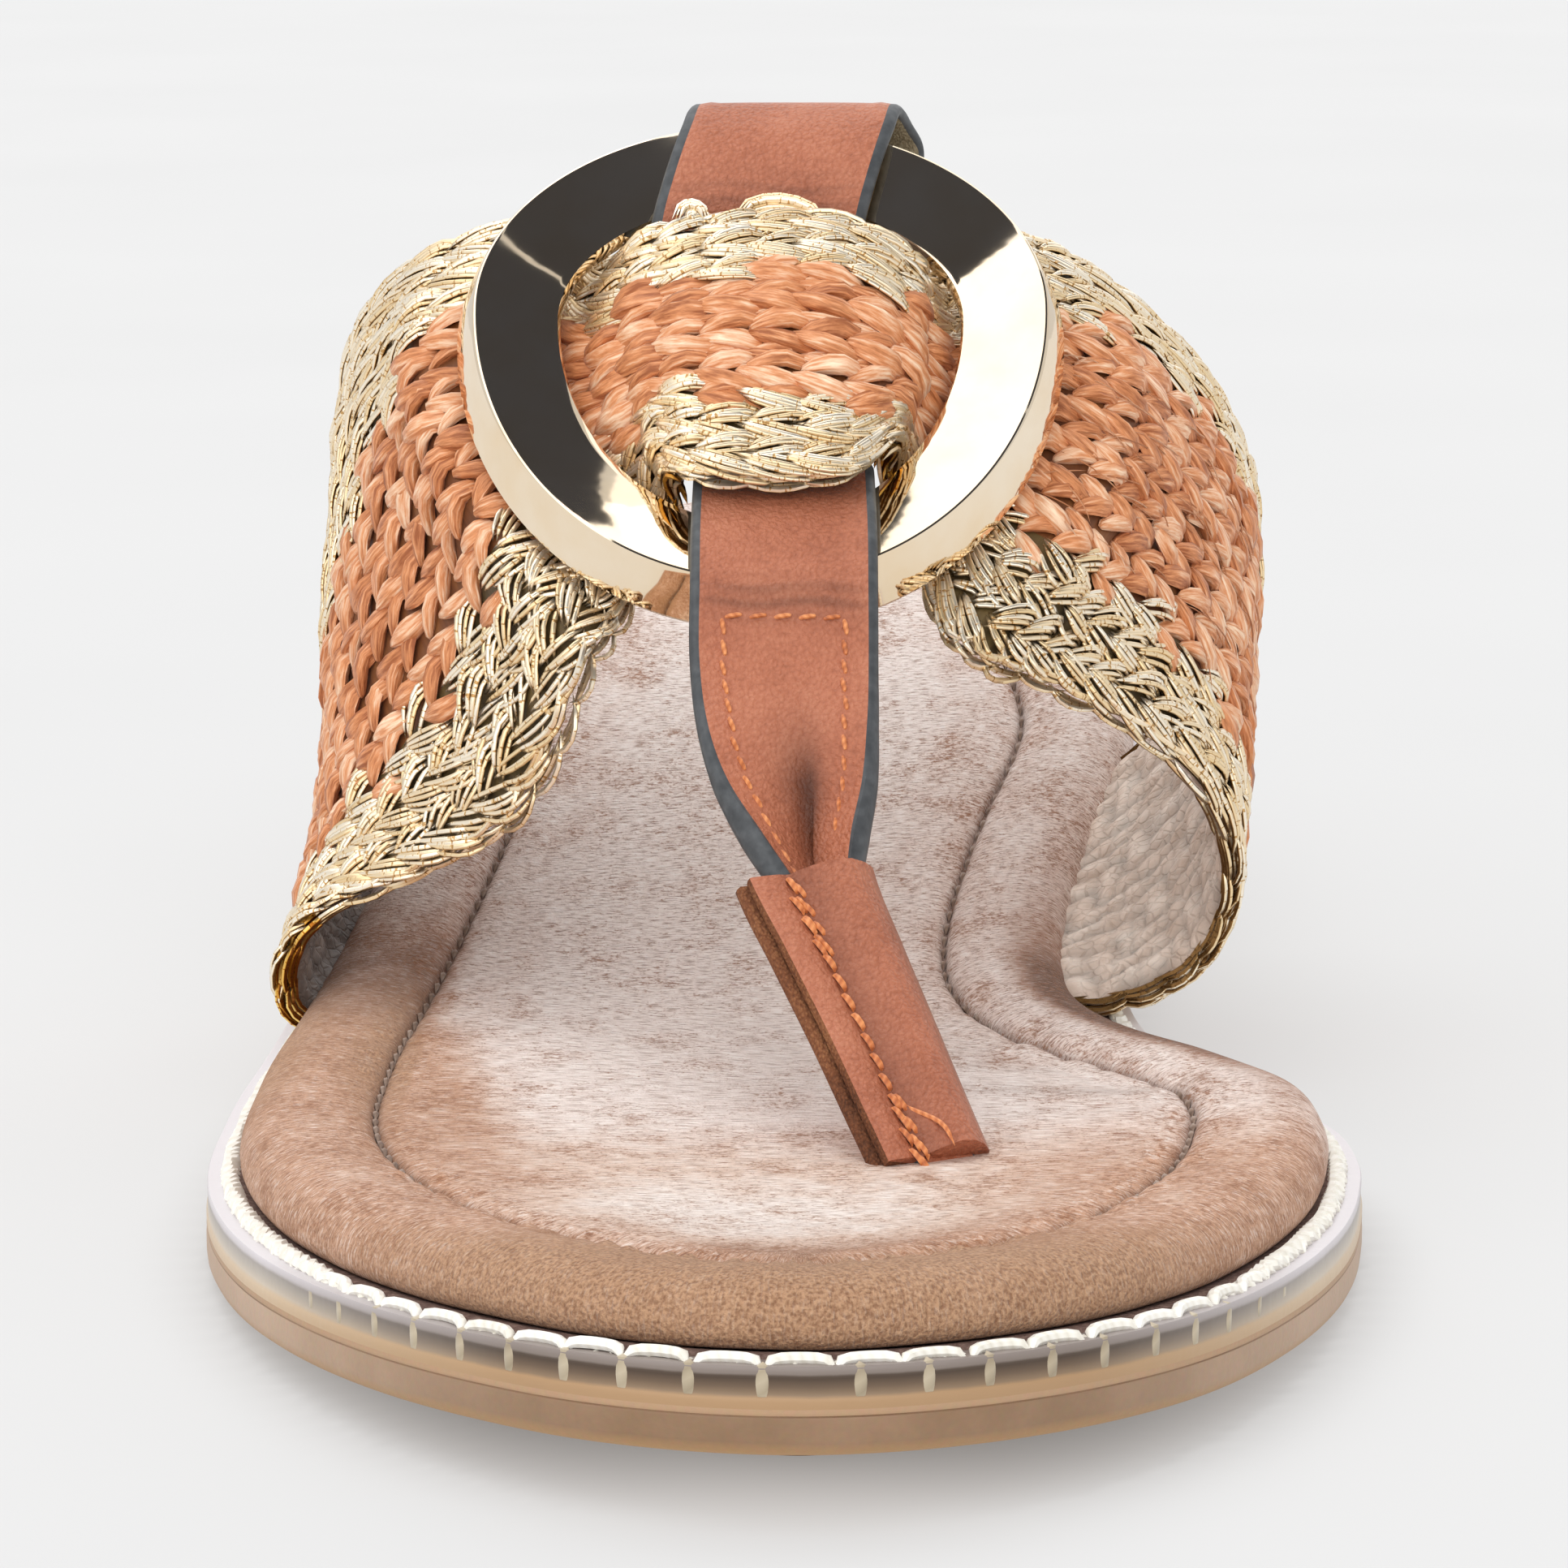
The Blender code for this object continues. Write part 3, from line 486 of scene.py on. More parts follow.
def liningMaterial():
    # soft beige lining leather: painted shade on the lateral side and between the knit's ribs, fine creases all over
    material, add = startMaterial("beigeLining", {"Roughness": 0.6, "Sheen Weight": 0.1})
    coord = add("TexCoord").outputs["Object"]
    valley = add("Attribute", attribute_name="valley").outputs["Fac"]
    cloud = add("TexNoise", {"Vector": coord, "Scale": 1 / (3 * mm), "Detail": 5.0, "Roughness": 0.6})
    pale = add("ValToRGB", (cloud,), [(0.3, "#CDB5A2"), (0.72, "#F6E9DC"), (0.5, "#E6D2C2")])
    shadedSideTone = add("ValToRGB", (cloud,), [(0.3, "#463C37"), (0.72, "#94857B"), (0.5, "#6C5F58")])
    split = add("SeparateXYZ", (coord,)).outputs
    # the lateral side takes the darker tone, painted as shade
    side = add("MapRange", {"Value": split["X"], "From Min": -0.03, "From Max": -0.01})
    tone = add("MixRGB", (side, shadedSideTone, pale))
    deep = add("Math", (valley, cloud), operation="MULTIPLY")
    ribbed = add("MixRGB", (deep, tone, "#54402F"))
    crease = add("TexVoronoi", {"Vector": coord, "Scale": 1 / (1.1 * mm)}, feature="DISTANCE_TO_EDGE")
    fold = add("Math", (crease, 0.14), operation="MINIMUM")
    height = add("Math", (cloud, 0.3, fold), operation="MULTIPLY_ADD")
    return dress(material, ribbed, height, 0.9, 0.8)


def edgePaintMaterial():
    # painted leather edge: thick slate-grey acrylic, slightly uneven
    material, add = startMaterial("edgePaint", {"Roughness": 0.45})
    coord = add("TexCoord").outputs["Object"]
    cloud = add("TexNoise", {"Vector": coord, "Scale": 1 / (1.2 * mm), "Detail": 4.0})
    colour = add("ValToRGB", (cloud,), [(0.3, "#393C3F"), (0.75, "#55585B"), (0.5, "#45484B")])
    return dress(material, colour, cloud, 0.5, 0.2)


def ringMaterial():
    # pale gold plating on a cast ring, polished: mirror sharp, with a trace of buffing haze
    material, add = startMaterial("paleGoldPlating", {"Metallic": 1.0})
    coord = add("TexCoord").outputs["Object"]
    haze = add("TexNoise", {"Vector": coord, "Scale": 1 / (7 * mm), "Detail": 5.0})
    colour = add("ValToRGB", (haze,), [(0.3, "#F3DCBB"), (0.7, "#F8E8D0")])
    rough = add("MapRange", {"Value": haze, "To Min": 0.02, "To Max": 0.07})
    wear = add("TexNoise", {"Vector": coord, "Scale": 1 / (4 * mm), "Detail": 2.0})
    return dress(material, colour, wear, 0.06, 0.2, Roughness=rough)


mats = {
    "rubber": rubberMaterial(),
    "welt": weltMaterial(),
    "board": boardMaterial(),
    "creamThread": threadMaterial("waxedCreamThread", "#DDD7C8", "#EFEBE0", "#FAF8F2", 1.1 * mm, 0.5),
    "barThread": threadMaterial("embeddedThread", "#93846C", "#AC9D84", "#C0B299", 1.3 * mm, 0.35),
    "taupeThread": threadMaterial("taupeThread", "#5E4638", "#8C7565", "#B5A295", 0.8 * mm, 0.6),
    "orangeThread": threadMaterial("orangePolyThread", "#9A4E26", "#C8713A", "#EFA062", 0.7 * mm, 0.4),
    "suede": suedeMaterial(),
    "raffia": raffiaMaterial("rayonRaffia", "#9C5529", "#D98F5C", "#FADCBC"),
    # the knit's back under the stitches, painted dark as the shade between them
    "shadedRaffiaBack": raffiaMaterial("rayonRaffiaBackInShade", "#4E2810", "#70401E", "#8A562A"),
    "shadedGoldBack": raffiaMaterial("foilYarnBackInShade", "#33260F", "#5E4A28", "#7E683C"),
    "gold": goldThreadMaterial("foilYarn", "#5A3D1A", "#C79A60", "#F4D8A8", "#FFF5E2"),
    # a darker copy of the gold yarn that paints its shade
    "goldInShade": goldThreadMaterial("foilYarnPaintedShade", "#5A2E08", "#A8641A", "#D9962E", "#F6D27A"),
    "leather": leatherMaterial("cognacLeather", "#9C583C", "#B46C4E", "#C47F60", 0.38),
    "flesh": leatherMaterial("leatherFleshSide", "#6A5F48", "#8E8168", "#AFA389", 0.8, 0.3, 0.25),
    "lining": liningMaterial(),
    "cutLeather": leatherMaterial("cutLeatherEdge", "#4A2814", "#7C4A2C", "#A8734A", 0.85, 0.3, 0.3),
    "edgePaint": edgePaintMaterial(),
    "ring": ringMaterial(),
}
print("materials ready")


# Sole: outsole, welt and insole share one outline
sole = {"length": 250.0, "steps": 260, "gap": 0.3, "outsoleFront": 3.4, "weltHeight": 2.9, "toeSpring": 5.4,
        "springEnd": 72.0, "springCurve": 1.4, "heelRise": 21.0, "riseStart": 95.0, "riseLength": 115.0}
soleOutline = np.array((  # along, lateral, medial
    (0, 1, 1), (2, -8.7, 10.4), (5, -14.5, 16.2), (10, -20.7, 22.8), (20, -29.6, 31.3), (30, -35.8, 36.7),
    (40, -40.3, 40.7), (50, -43.4, 43.6), (60, -45.4, 45.4), (70, -46.3, 46.3), (80, -46.2, 45.2), (90, -45.8, 40.6),
    (100, -44.9, 34.6), (110, -43.7, 31.3), (120, -42.3, 30.2), (135, -40, 30.6), (150, -37.6, 32.8),
    (165, -35.4, 34.6), (180, -33.7, 34.7), (200, -32.1, 33.2), (215, -30.2, 30.9), (228, -26.3, 26.7),
    (238, -20.7, 20.9), (245, -13.9, 14), (248, -8.8, 9), (250, 0.1, 0.1)))


def toeSpring(along):
    return sole["toeSpring"] * (np.maximum(sole["springEnd"] - along, 0) / sole["springEnd"]) ** sole["springCurve"]


def underside(along):
    arch = np.where((along > 108) & (along < 172), 2.0 * np.sin(np.pi * (along - 108) / 64) ** 2, 0)
    return toeSpring(along) + arch + 2.5 * (np.maximum(along - 232, 0) / 18) ** 2


def outsoleTop(along):
    heel = sole["heelRise"] * ease((along - sole["riseStart"]) / sole["riseLength"])
    return sole["outsoleFront"] + toeSpring(along) + heel


def weltTop(along):
    return outsoleTop(along) + sole["gap"] + sole["weltHeight"]


def alongOf(points):  # mm from the toe tip
    return points[..., 1] / mm - toeTip / mm


def outlineLoop():
    turns = np.arccos(1 - 2 * soleOutline[:, 0] / sole["length"])
    at = np.linspace(0, np.pi, sole["steps"] + 1)
    along = sole["length"] * (1 - np.cos(at)) / 2
    lateral, medial = (np.column_stack([throughRows(turns, soleOutline[:, k], at), along]) for k in (1, 2))
    loop = np.concatenate([lateral, medial[-2:0:-1]])
    ahead = np.roll(loop, -1, axis=0) - np.roll(loop, 1, axis=0)
    return loop, unit(np.column_stack([ahead[:, 1], -ahead[:, 0]]))


outline, outlineInward = outlineLoop()
mirrored = -np.arange(len(outline)) % len(outline)


def waistCut(spots):  # the footbed draws in at the medial waist and bulges behind the band
    across, along = spots[..., 0], spots[..., 1]
    cut = 3.4 * ease(1 - np.abs(along - 108) / 34) - 2.0 * np.exp(-((along - 160) / 14) ** 2)
    return np.where(across < 0, 0, cut)


def soleRow(inset, height, share=0.0, lift=0.0):
    # one closed row of a sole layer; share draws it from the rim to the middle line
    step = np.broadcast_to(inset, (len(outline),))
    row = outline + outlineInward * step[:, None]
    row = row * (1 - share) + (row + row[mirrored]) / 2 * share
    points = np.column_stack([row, height(row[:, 1]) + lift])
    return place(np.concatenate([points, points[:1]]))


def makeContactPaper():
    # a sheet on the floor whose glow fades where the sole covers it: a painted contact shadow
    across, along = np.meshgrid(np.linspace(-72, 72, 121), np.linspace(-24, 274, 249))
    away = np.linalg.norm(np.stack([across, along], axis=-1)[:, :, None] - outline[::3], axis=-1).min(axis=-1)
    low, high = (np.interp(along, soleOutline[:, 0], soleOutline[:, k], 0, 0) for k in (1, 2))
    inside = np.where((across > low) & (across < high), away, -away)
    inside -= 10 * np.exp(-(across / 16) ** 2) * ease((100 - along) / 40)  # the painted shadow thins under the raised toe
    points = place(np.stack([across, along, across * 0 - 0.01], axis=-1))
    sheet = bentGrid(points, values={"paintedContactShadow": ease((inside + 7) / 22)})
    piece = addObject(sheet, "contactPaper", [paper])


def makeOutsole():
    rows = [soleRow(1.3, underside, share) for share in (1, 0.75, 0.5)]
    rows += [soleRow(inset, underside, 0, lift) for inset, lift in (
        (11, 0), (7.4, 0), (6.9, 0.5), (6.1, 0.5), (5.6, 0), (2.2, 0), (1.3, 0.03), (0.6, 0.2), (0.2, 0.5), (0, 0.9))]
    for share in (0.25, 0.5, 0.75):
        rows.append(soleRow(-0.05, lambda a: (underside(a) + 0.9) * (1 - share) + (outsoleTop(a) - 0.6) * share))
    rows += [soleRow(inset, outsoleTop, 0, lift) for inset, lift in (
        (0, -0.6), (0.02, -0.42), (0.06, -0.36), (0.0, -0.28), (-0.02, -0.1), (0, 0.16), (3, 0.16))]
    rows += [soleRow(3, outsoleTop, share, 0.16) for share in (0.5, 1)]
    points = np.array(rows)
    along, height = alongOf(points), points[..., 2] / mm
    values = {"fromTop": outsoleTop(along) - height, "fromFloor": height - underside(along)}
    finishPiece(bentGrid(points, values=values), "rubberOutsole", ["rubber"], "outsole")


weltThread = {"pitch": 5.0, "bow": 1.15, "thickness": 1.0, "inset": 0.35, "sideInset": 0.75, "barWidth": 0.95,
              "cordPitch": 3.0, "cordStep": 0.7, "cordThickness": 0.92}
weltRims = ((3, -0.15), (0.0, -0.15), (-0.02, 0.1), (-0.02, 0.4), (0.02, 0.62), (0.1, 0.78), (0.12, 1.1), (0.12, 1.5),
            (0.12, 1.9), (0.1, 2.2), (0.08, 2.5), (0.1, 2.75), (0.18, 2.9), (0.4, 2.95), (1.3, 2.95), (1.95, 3.0),
            (2.15, 3.3), (2.8, 3.35), (4.2, 3.1), (8, 2.6))  # inset, height
boardFrom = 16  # past this row the plate shows its board
upright = np.array((0.0, 0.0, 1.0))


def alongOutline(inset, at):
    # points on a closed line that runs at an inset from the outline, at lengths from the toe tip
    line = outline + outlineInward * inset
    line = np.concatenate([line, line[:1]])
    lengths = pathLength(line)
    inward = np.concatenate([outlineInward, outlineInward[:1]])
    at = np.asarray(at) % lengths[-1]
    return between(at, lengths, line), unit(between(at, lengths, inward)), lengths[-1]


def makeWelt():
    bottom = lambda a: outsoleTop(a) + sole["gap"]
    rows = [soleRow(3, bottom, share, -0.15) for share in (1, 0.5)]
    rows += [soleRow(inset, bottom, 0, lift) for inset, lift in weltRims]
    rows += [soleRow(8, bottom, share, 2.6) for share in (0.5, 1)]
    points = np.array(rows)
    share = np.clip((points[..., 2] / mm - bottom(alongOf(points))) / sole["weltHeight"], 0, 1)
    paint = lambda row, column: int(row > boardFrom)
    finishPiece(bentGrid(points, paint, {"wallShare": share}), "stitchedWelt", ["welt", "board"], "welt")


def makeWeltThread():
    t = weltThread
    _, _, around = alongOutline(t["inset"], [0.0])
    count = int(round(around / t["pitch"]))
    pitch = around / count
    share = np.linspace(0, 1, 9)
    fromMiddle = np.abs(share - 0.5) * 2
    starts = (np.arange(count) + 0.5 + chance.normal(0, 0.03, count)) * pitch
    at = starts[:, None] + share * pitch * 1.04 - 0.02 * pitch
    spots, facing, _ = alongOutline(t["inset"], at)
    bow = t["bow"] * np.sin(np.pi * share) ** 0.55
    drawnIn = t["sideInset"] * ease((spots[..., 1] - 10) / 34)  # the seam wanders inwards along the sides
    spots = spots + facing * (bow - 0.1 + drawnIn)[..., None]
    height = weltTop(spots[..., 1]) + 0.4 - 0.75 * fromMiddle ** 8 + wander(0.04, count)
    thick = t["thickness"] / 2 * mm * (1 - 0.35 * fromMiddle ** 6)
    thick = thick * vary(0.92, 1.06, count)
    thick[:, (0, -1)] = 0
    makeStrands("weltScallops", "creamThread", "welt", raised(spots, height), upright, thick, thick * 0.92, 8)
    # bars of the same thread, seen through the clear wall at each notch; they sink into it along the sides
    spots, facing, _ = alongOutline(0.08, starts)
    drop = np.array([0.25, 0.0, -0.6, -1.3, -2.1, -2.4])
    inward = np.array([0.6, 0.16, 0.06, 0.06, 0.1, 0.4])
    sunk = 0.16 * ease((spots[:, 1] - 14) / 30)
    places = spots[:, None] + facing[:, None] * (inward[None, :, None] + sunk[:, None, None])
    height = weltTop(places[..., 1]) + drop - np.array([0.7, 0.3, 0, 0, 0, 0]) * sunk[:, None] / 0.16
    outward = raised(-facing, np.zeros(count))[:, None]
    wide = np.broadcast_to(np.array([0, 0.9, 1, 1, 1, 0]) * t["barWidth"] / 2 * mm, height.shape)
    makeStrands("weltBars", "barThread", "welt", raised(places, height), outward, wide, wide * 0.3, 6)
    # two twisted strands of the lock stitch, beside the scallops along the sides
    at = np.linspace(0, around, int(around / t["cordStep"]) + 1)
    twist = at / t["cordPitch"] * 2 * np.pi + np.array([[0], [np.pi]])
    spots, facing, _ = alongOutline(t["inset"] + 0.9, at * 0.999)
    drawnIn = t["sideInset"] * ease((spots[:, 1] - 10) / 34)
    spots = spots + facing * (drawnIn + 0.42 * np.sin(twist))[..., None]
    height = weltTop(spots[..., 1]) + 0.3 + 0.34 * np.cos(twist) - 0.9 * (1 - ease((spots[..., 1] - 18) / 16))
    thick = np.full(height.shape, t["cordThickness"] / 2 * mm)
    thick[:, (0, -1)] = 0
    makeStrands("weltCord", "creamThread", "welt", raised(spots, height), upright, thick, thick, 6)


insolePad = {"inset": 3.9, "field": 4.1, "groove": 9.6, "stitchPitch": 2.6, "stitchLength": 1.5, "pucker": 0.24}
insoleProfile = np.array((  # inset, height: underside, rolled rim, groove at 9.6, edge of the field
    (0.6, 0.05), (-0.6, 0.25), (-1.15, 1.2), (-0.95, 2.6), (-0.1, 3.9), (1.4, 4.75), (3.8, 5.1), (6.4, 4.9),
    (8.2, 4.5), (9.2, 3.85), (9.6, 3.05), (10.0, 3.75), (10.9, 4.05), (12.5, 4.2), (14, 4.15)))


def insoleBottom(along):
    return weltTop(along) + sole["gap"]


def makeInsole():
    base, groove = insolePad["inset"] + waistCut(outline), insolePad["groove"]
    fieldInset = insoleProfile[-1, 0]
    knots = pathLength(insoleProfile)
    fine = throughRows(knots, insoleProfile, np.linspace(0, knots[-1], 46))
    rows = [soleRow(base + 9, insoleBottom, share) for share in (1, 0.5)]
    rows += [soleRow(base + inset, insoleBottom) for inset in (9, 0.9)]
    around = pathLength(np.concatenate([outline, outline[:1]]))[:-1]
    pull = np.sin(2 * np.pi * around / insolePad["stitchPitch"])
    pull = pull + 0.8 * np.sin(around * 0.83 + 2 * np.sin(around * 0.11))
    swell = 0.1 * np.sin(around * 0.21 + np.sin(around * 0.047) * 2) + 0.05 * np.sin(around * 0.49)
    for inset, lift in fine:
        near = np.exp(-((np.abs(inset - groove) - 1.5) / 1.2) ** 2)
        rolled = np.exp(-((inset - 4) / 3.5) ** 2)
        lift = lift + insolePad["pucker"] * pull * near + swell * rolled
        rows.append(soleRow(base + inset, insoleBottom, 0, lift))
    shares = np.linspace(0.06, 1, 16)
    for share in shares:
        rows.append(soleRow(base + fieldInset, insoleBottom, share, insolePad["field"] + 0.05 - 0.25 * ease(share)))
    points = np.array(rows)
    # how the nap lies and where light falls: pale in the field's middle, tan on the rolls, cooler and paler under the
    # band, that paleness partly painted light reaching in under the band
    x, along = points[..., 0] / mm, alongOf(points)
    inset = np.concatenate([np.zeros(4), fine[:, 0], np.full(len(shares), fieldInset)])[:, None]
    middle = np.concatenate([np.zeros(4 + len(fine)), shares])[:, None]
    rise = ease((along - 10) / 24)
    lateral = ease((-x - 19) / 12)
    back = ease((along - 47 - 40 * lateral) / 28)
    field = ease((inset - groove) / 3) * (0.35 + 0.65 * ease(middle * 2)) * (1 - 0.5 * lateral)
    # painted sheen: a bright patch in the field's centre and along the rolls' crests
    centre = np.exp(-((x + 5) / 17) ** 2 - ((along - 31) / 15) ** 2) * (inset > 10)
    crest = np.exp(-((inset - 4.5) / 3) ** 2)
    # painted shade on the medial flank by the lining and on the lateral roll under the band
    flank = np.exp(-((along - 98) / 20) ** 2) * ease((x - 12) / 6) * ease((6 - inset) / 4)
    bare = np.exp(-((along - 80) / 12) ** 2) * (x < -20) * (inset < 12)
    shaded = np.exp(-((along - 110) / 16) ** 2) * lateral * ease((13 - inset) / 4)
    pale = 0.04 + 0.19 * rise + 0.38 * field * rise + 0.45 * centre + 0.15 * crest * rise + 0.45 * back
    pale = pale - 1.0 * flank - 0.12 * bare - 0.55 * shaded
    # crease: painted shade in the groove and on the shaded parts
    crease = np.exp(-((inset - groove) / 0.5) ** 2) * np.where(along < 22, 0.3, 0.6) + 0.6 * flank + 0.14 * shaded
    values = {"pale": np.clip(pale, 0, 1), "cool": back, "crease": crease}
    piece = finishPiece(bentGrid(points, values=values), "suedeInsole", ["suede"], "insole")


def makeInsoleStitches():
    inset = insolePad["inset"] + insolePad["groove"]
    _, _, around = alongOutline(inset, [0.0])
    count = int(around / insolePad["stitchPitch"])
    at = np.arange(count) * around / count
    share = np.linspace(-0.5, 0.5, 5)
    spots, facing, _ = alongOutline(inset, at[:, None] + share * insolePad["stitchLength"])
    spots = spots + facing * waistCut(spots)[..., None]
    height = insoleBottom(spots[..., 1]) + 3.62 - 0.5 * (np.abs(share) * 2) ** 2
    thick = np.broadcast_to(np.array([0, 0.8, 1, 0.8, 0]) * 0.26 * mm, height.shape)
    makeStrands("insoleStitches", "taupeThread", "insole", raised(spots, height), upright, thick, thick, 5)


makeContactPaper()
makeOutsole()
makeWelt()
makeWeltThread()
makeInsole()
makeInsoleStitches()


# Ring: egg-shaped, flat-faced, leaning back over the instep
ring = {"x": -2.0, "along": 111.3, "z": 69.2, "slope": math.radians(44), "halfWidth": 25.5, "upper": 21.2,
        "lower": 30.0, "steps": 180}
ringProfile = ((-0.1, -2.9), (-0.4, -2.75), (-0.5, -2.4), (-0.1, -0.9), (0.35, 0.5), (0.9, 1.85), (1.0, 2.12),
               (1.12, 2.27), (1.28, 2.33), (1.48, 2.29), (7.5, 0.66), (7.8, 0.57), (8.2, 0.4), (8.4, 0), (8.4, -0.9),
               (8.2, -1.4), (7.6, -1.8), (5.8, -2.9))  # inset, out


def onRing(u, v, n):
    u, v, n = (np.asarray(c, float) for c in (u, v, n))
    lean = ring["slope"]
    return np.stack(np.broadcast_arrays(ring["x"] + u, ring["along"] + v * math.cos(lean) - n * math.sin(lean),
                                        ring["z"] + v * math.sin(lean) + n * math.cos(lean)), axis=-1)


def makeRing():
    turn = np.linspace(0, 2 * np.pi, ring["steps"] + 1)
    tall = np.where(np.sin(turn) >= 0, ring["upper"], ring["lower"])
    rim = np.column_stack([ring["halfWidth"] * np.cos(turn), tall * np.sin(turn)])
    outward = unit(np.column_stack([np.cos(turn) / ring["halfWidth"], np.sin(turn) / tall]))
    rows = []
    for inset, out in ringProfile + ringProfile[:1]:
        line = rim - outward * inset
        rows.append(place(onRing(line[:, 0], line[:, 1], out)))
    finishPiece(bentGrid(np.array(rows)), "goldRing", ["ring"], "ring", 30)


makeRing()


# Band: knitted raffia over a leather lining, gathered through the ring
band = {"columns": 12, "pitch": 3.5, "holeStretch": 0.6, "baseLift": 0.3, "liningLift": -0.75, "ribPitch": 2.7,
        "ribHeight": 0.6, "raffiaWidth": 1.04, "raffiaHeight": 0.7, "goldRadius": 0.25, "goldStrands": 5,
        "fibres": 60}
bandRows, bandWide = 901, 61  # points of the smooth surface that the knit lies on
bandLateral = (  # each row: front edge, middle and back edge, as across, along, height
    (-33.5, 104, 8.8, -31.5, 125, 12, -28.5, 146, 17.2), (-39.5, 104, 8.8, -37.3, 125, 12, -34, 146, 17.2),
    (-42.2, 103.5, 11, -40, 125, 14.4, -36.9, 146, 19.8), (-42.2, 103, 15.8, -41, 124, 19.8, -39.8, 147, 25.8),
    (-39, 102, 20, -40, 122, 26.4, -41.2, 147, 33.5), (-33.6, 100, 22.8, -39, 120, 33.2, -41.2, 146, 41.5),
    (-28, 98, 26, -37.2, 118.5, 40, -40.4, 145, 49.5), (-22.6, 95, 30.6, -34.6, 117, 47.5, -39.6, 142.5, 57.8),
    (-18.8, 92.5, 37.6, -32, 115, 54.4, -36.6, 136.5, 66.8))
bandThroughRing = (  # the same in the ring's own plane: across, up its face, out of its face
    (-14.6, -31.5, -5, -28, -6, -7, -27.6, 16, -10.2), (-12, -26.6, -5.2, -21.8, -4.5, -5.4, -18.6, 14.2, -5.6),
    (-10, -20.2, -5.2, -16.6, -4, -4.8, -13.8, 10.4, -5.4), (-7.8, -17.3, -2.4, -13.2, -3.9, -1.6, -11.2, 8.2, -1.8),
    (-7.4, -16.8, 1.7, -9.6, -3.8, 2.2, -9.6, 7.2, 1.9), (-4.8, -19.4, 4.2, -4.6, -3.8, 5, -4.4, 7.5, 3.6),
    (1.8, -20.2, 4.5, 1.8, -3.8, 5.8, 1.8, 7.8, 3.8), (7.8, -19, 4.1, 8.2, -3.8, 4.8, 8.6, 7.2, 3.5),
    (10.8, -14, 1.8, 11.8, -3.8, 2.2, 12.8, 5.6, 1.6), (11, -14.1, -2.2, 14, -3.9, -1.8, 13.4, 6.2, -1.8),
    (12.8, -17.6, -5.2, 16.8, -4, -4.8, 15.6, 8.6, -5.2), (14.4, -25, -5.2, 22.2, -4.5, -5.6, 20.2, 13.4, -5.8),
    (17.2, -30.2, -5, 29, -6, -7.2, 26, 13.6, -8.2))
bandMedial = (  # as the lateral side, from the foot up
    (17, 110, 9.3, 18.5, 132, 13.6, 24, 156, 19.9), (23.2, 110, 9.3, 24.6, 132, 13.6, 30, 156, 19.9),
    (29.4, 110, 10, 30.6, 132, 15.6, 34.6, 155.5, 23.2), (35.2, 110, 12.8, 36.2, 131, 19.8, 38.6, 154, 29),
    (38.6, 109, 19.5, 40.2, 130, 27.5, 41.6, 152, 36.6), (36.6, 105.5, 28.8, 40.8, 127, 37, 42.8, 149, 44.6),
    (29.6, 100.5, 36.2, 38.6, 124, 46, 41.6, 145, 53), (21.6, 95.5, 41.4, 33.6, 118.5, 53.6, 35.8, 138, 62.8))


def bandSurface():
    tables = (bandLateral, bandThroughRing, bandMedial)
    lateral, inRing, medial = (np.array(table, float).reshape(-1, 3, 3) for table in tables)
    inRing = onRing(inRing[..., 0], inRing[..., 1], inRing[..., 2])
    rows = np.concatenate([lateral, inRing, medial[::-1]])
    knots = pathLength(rows[:, 1])
    at = np.linspace(0, knots[-1], bandRows)
    near, middle, far = np.moveaxis(throughRows(knots, rows, at)[:, None], 2, 0)
    w = np.linspace(0, 1, bandWide)[None, :, None]
    grid = near * (1 - w) * (1 - 2 * w) + middle * 4 * w * (1 - w) + far * w * (2 * w - 1)
    normals = unit(np.cross(np.gradient(grid, axis=0), np.gradient(grid, axis=1)))
    return knots, at, grid, normals


def pastKnot(s, first, last):  # 0 at one row of the tables, 1 at another, eased between them
    return ease((s - bandKnots[first]) / (bandKnots[last] - bandKnots[first]))


bandKnots, bandSteps, bandGrid, bandNormals = bandSurface()
bandLength = bandKnots[-1]
inHole = pastKnot(bandSteps, 10, 12) * pastKnot(bandSteps, 20, 18)
holeWeights = np.array((1.15, 1.15, 1, 1, 0.5, 1, 0.5, 1, 0.5, 1, 1.8, 1.6))  # some columns fold away in the ring
foldedColumns = (4, 6, 8)
columnWeights = 1 + (holeWeights - 1) * inHole[:, None]
towardsMedial = (pastKnot(bandSteps, 13, 18) * inHole)[:, None]
columnWeights[:, :3] *= 1 - 0.5 * towardsMedial  # the gold edges narrow as the band leans down to the right
columnWeights[:, 10:] *= 1 - 0.3 * towardsMedial
columnEdges = np.concatenate([np.zeros((bandRows, 1)), np.cumsum(columnWeights, axis=1)], axis=1)
columnEdges /= columnEdges[:, -1:]


def bandAt(s, column, lift):
    # point and normal of the band at a length along it, a knit column and a height over its middle
    s, column, lift = np.broadcast_arrays(np.asarray(s, float), column, lift)
    spot = np.clip(s / bandLength, 0, 1) * (bandRows - 1)
    i = np.clip(spot.astype(int), 0, bandRows - 2)
    whole = np.clip(np.floor(column).astype(int), 0, band["columns"] - 1)
    low, high = columnEdges[i, whole], columnEdges[i, whole + 1]
    w = (low + (column - whole) * (high - low)) * (bandWide - 1)
    j = np.clip(w.astype(int), 0, bandWide - 2)
    fi, fj = (spot - i)[..., None], (w - j)[..., None]
    mixed = []
    for field in (bandGrid, bandNormals):
        near, far = (field[k, j] * (1 - fj) + field[k, j + 1] * fj for k in (i, i + 1))
        mixed.append(near * (1 - fi) + far * fi)
    normal = unit(mixed[1])
    return mixed[0] + normal * lift[..., None], normal


def holeShare(s):
    return np.interp(s, bandSteps, inHole)


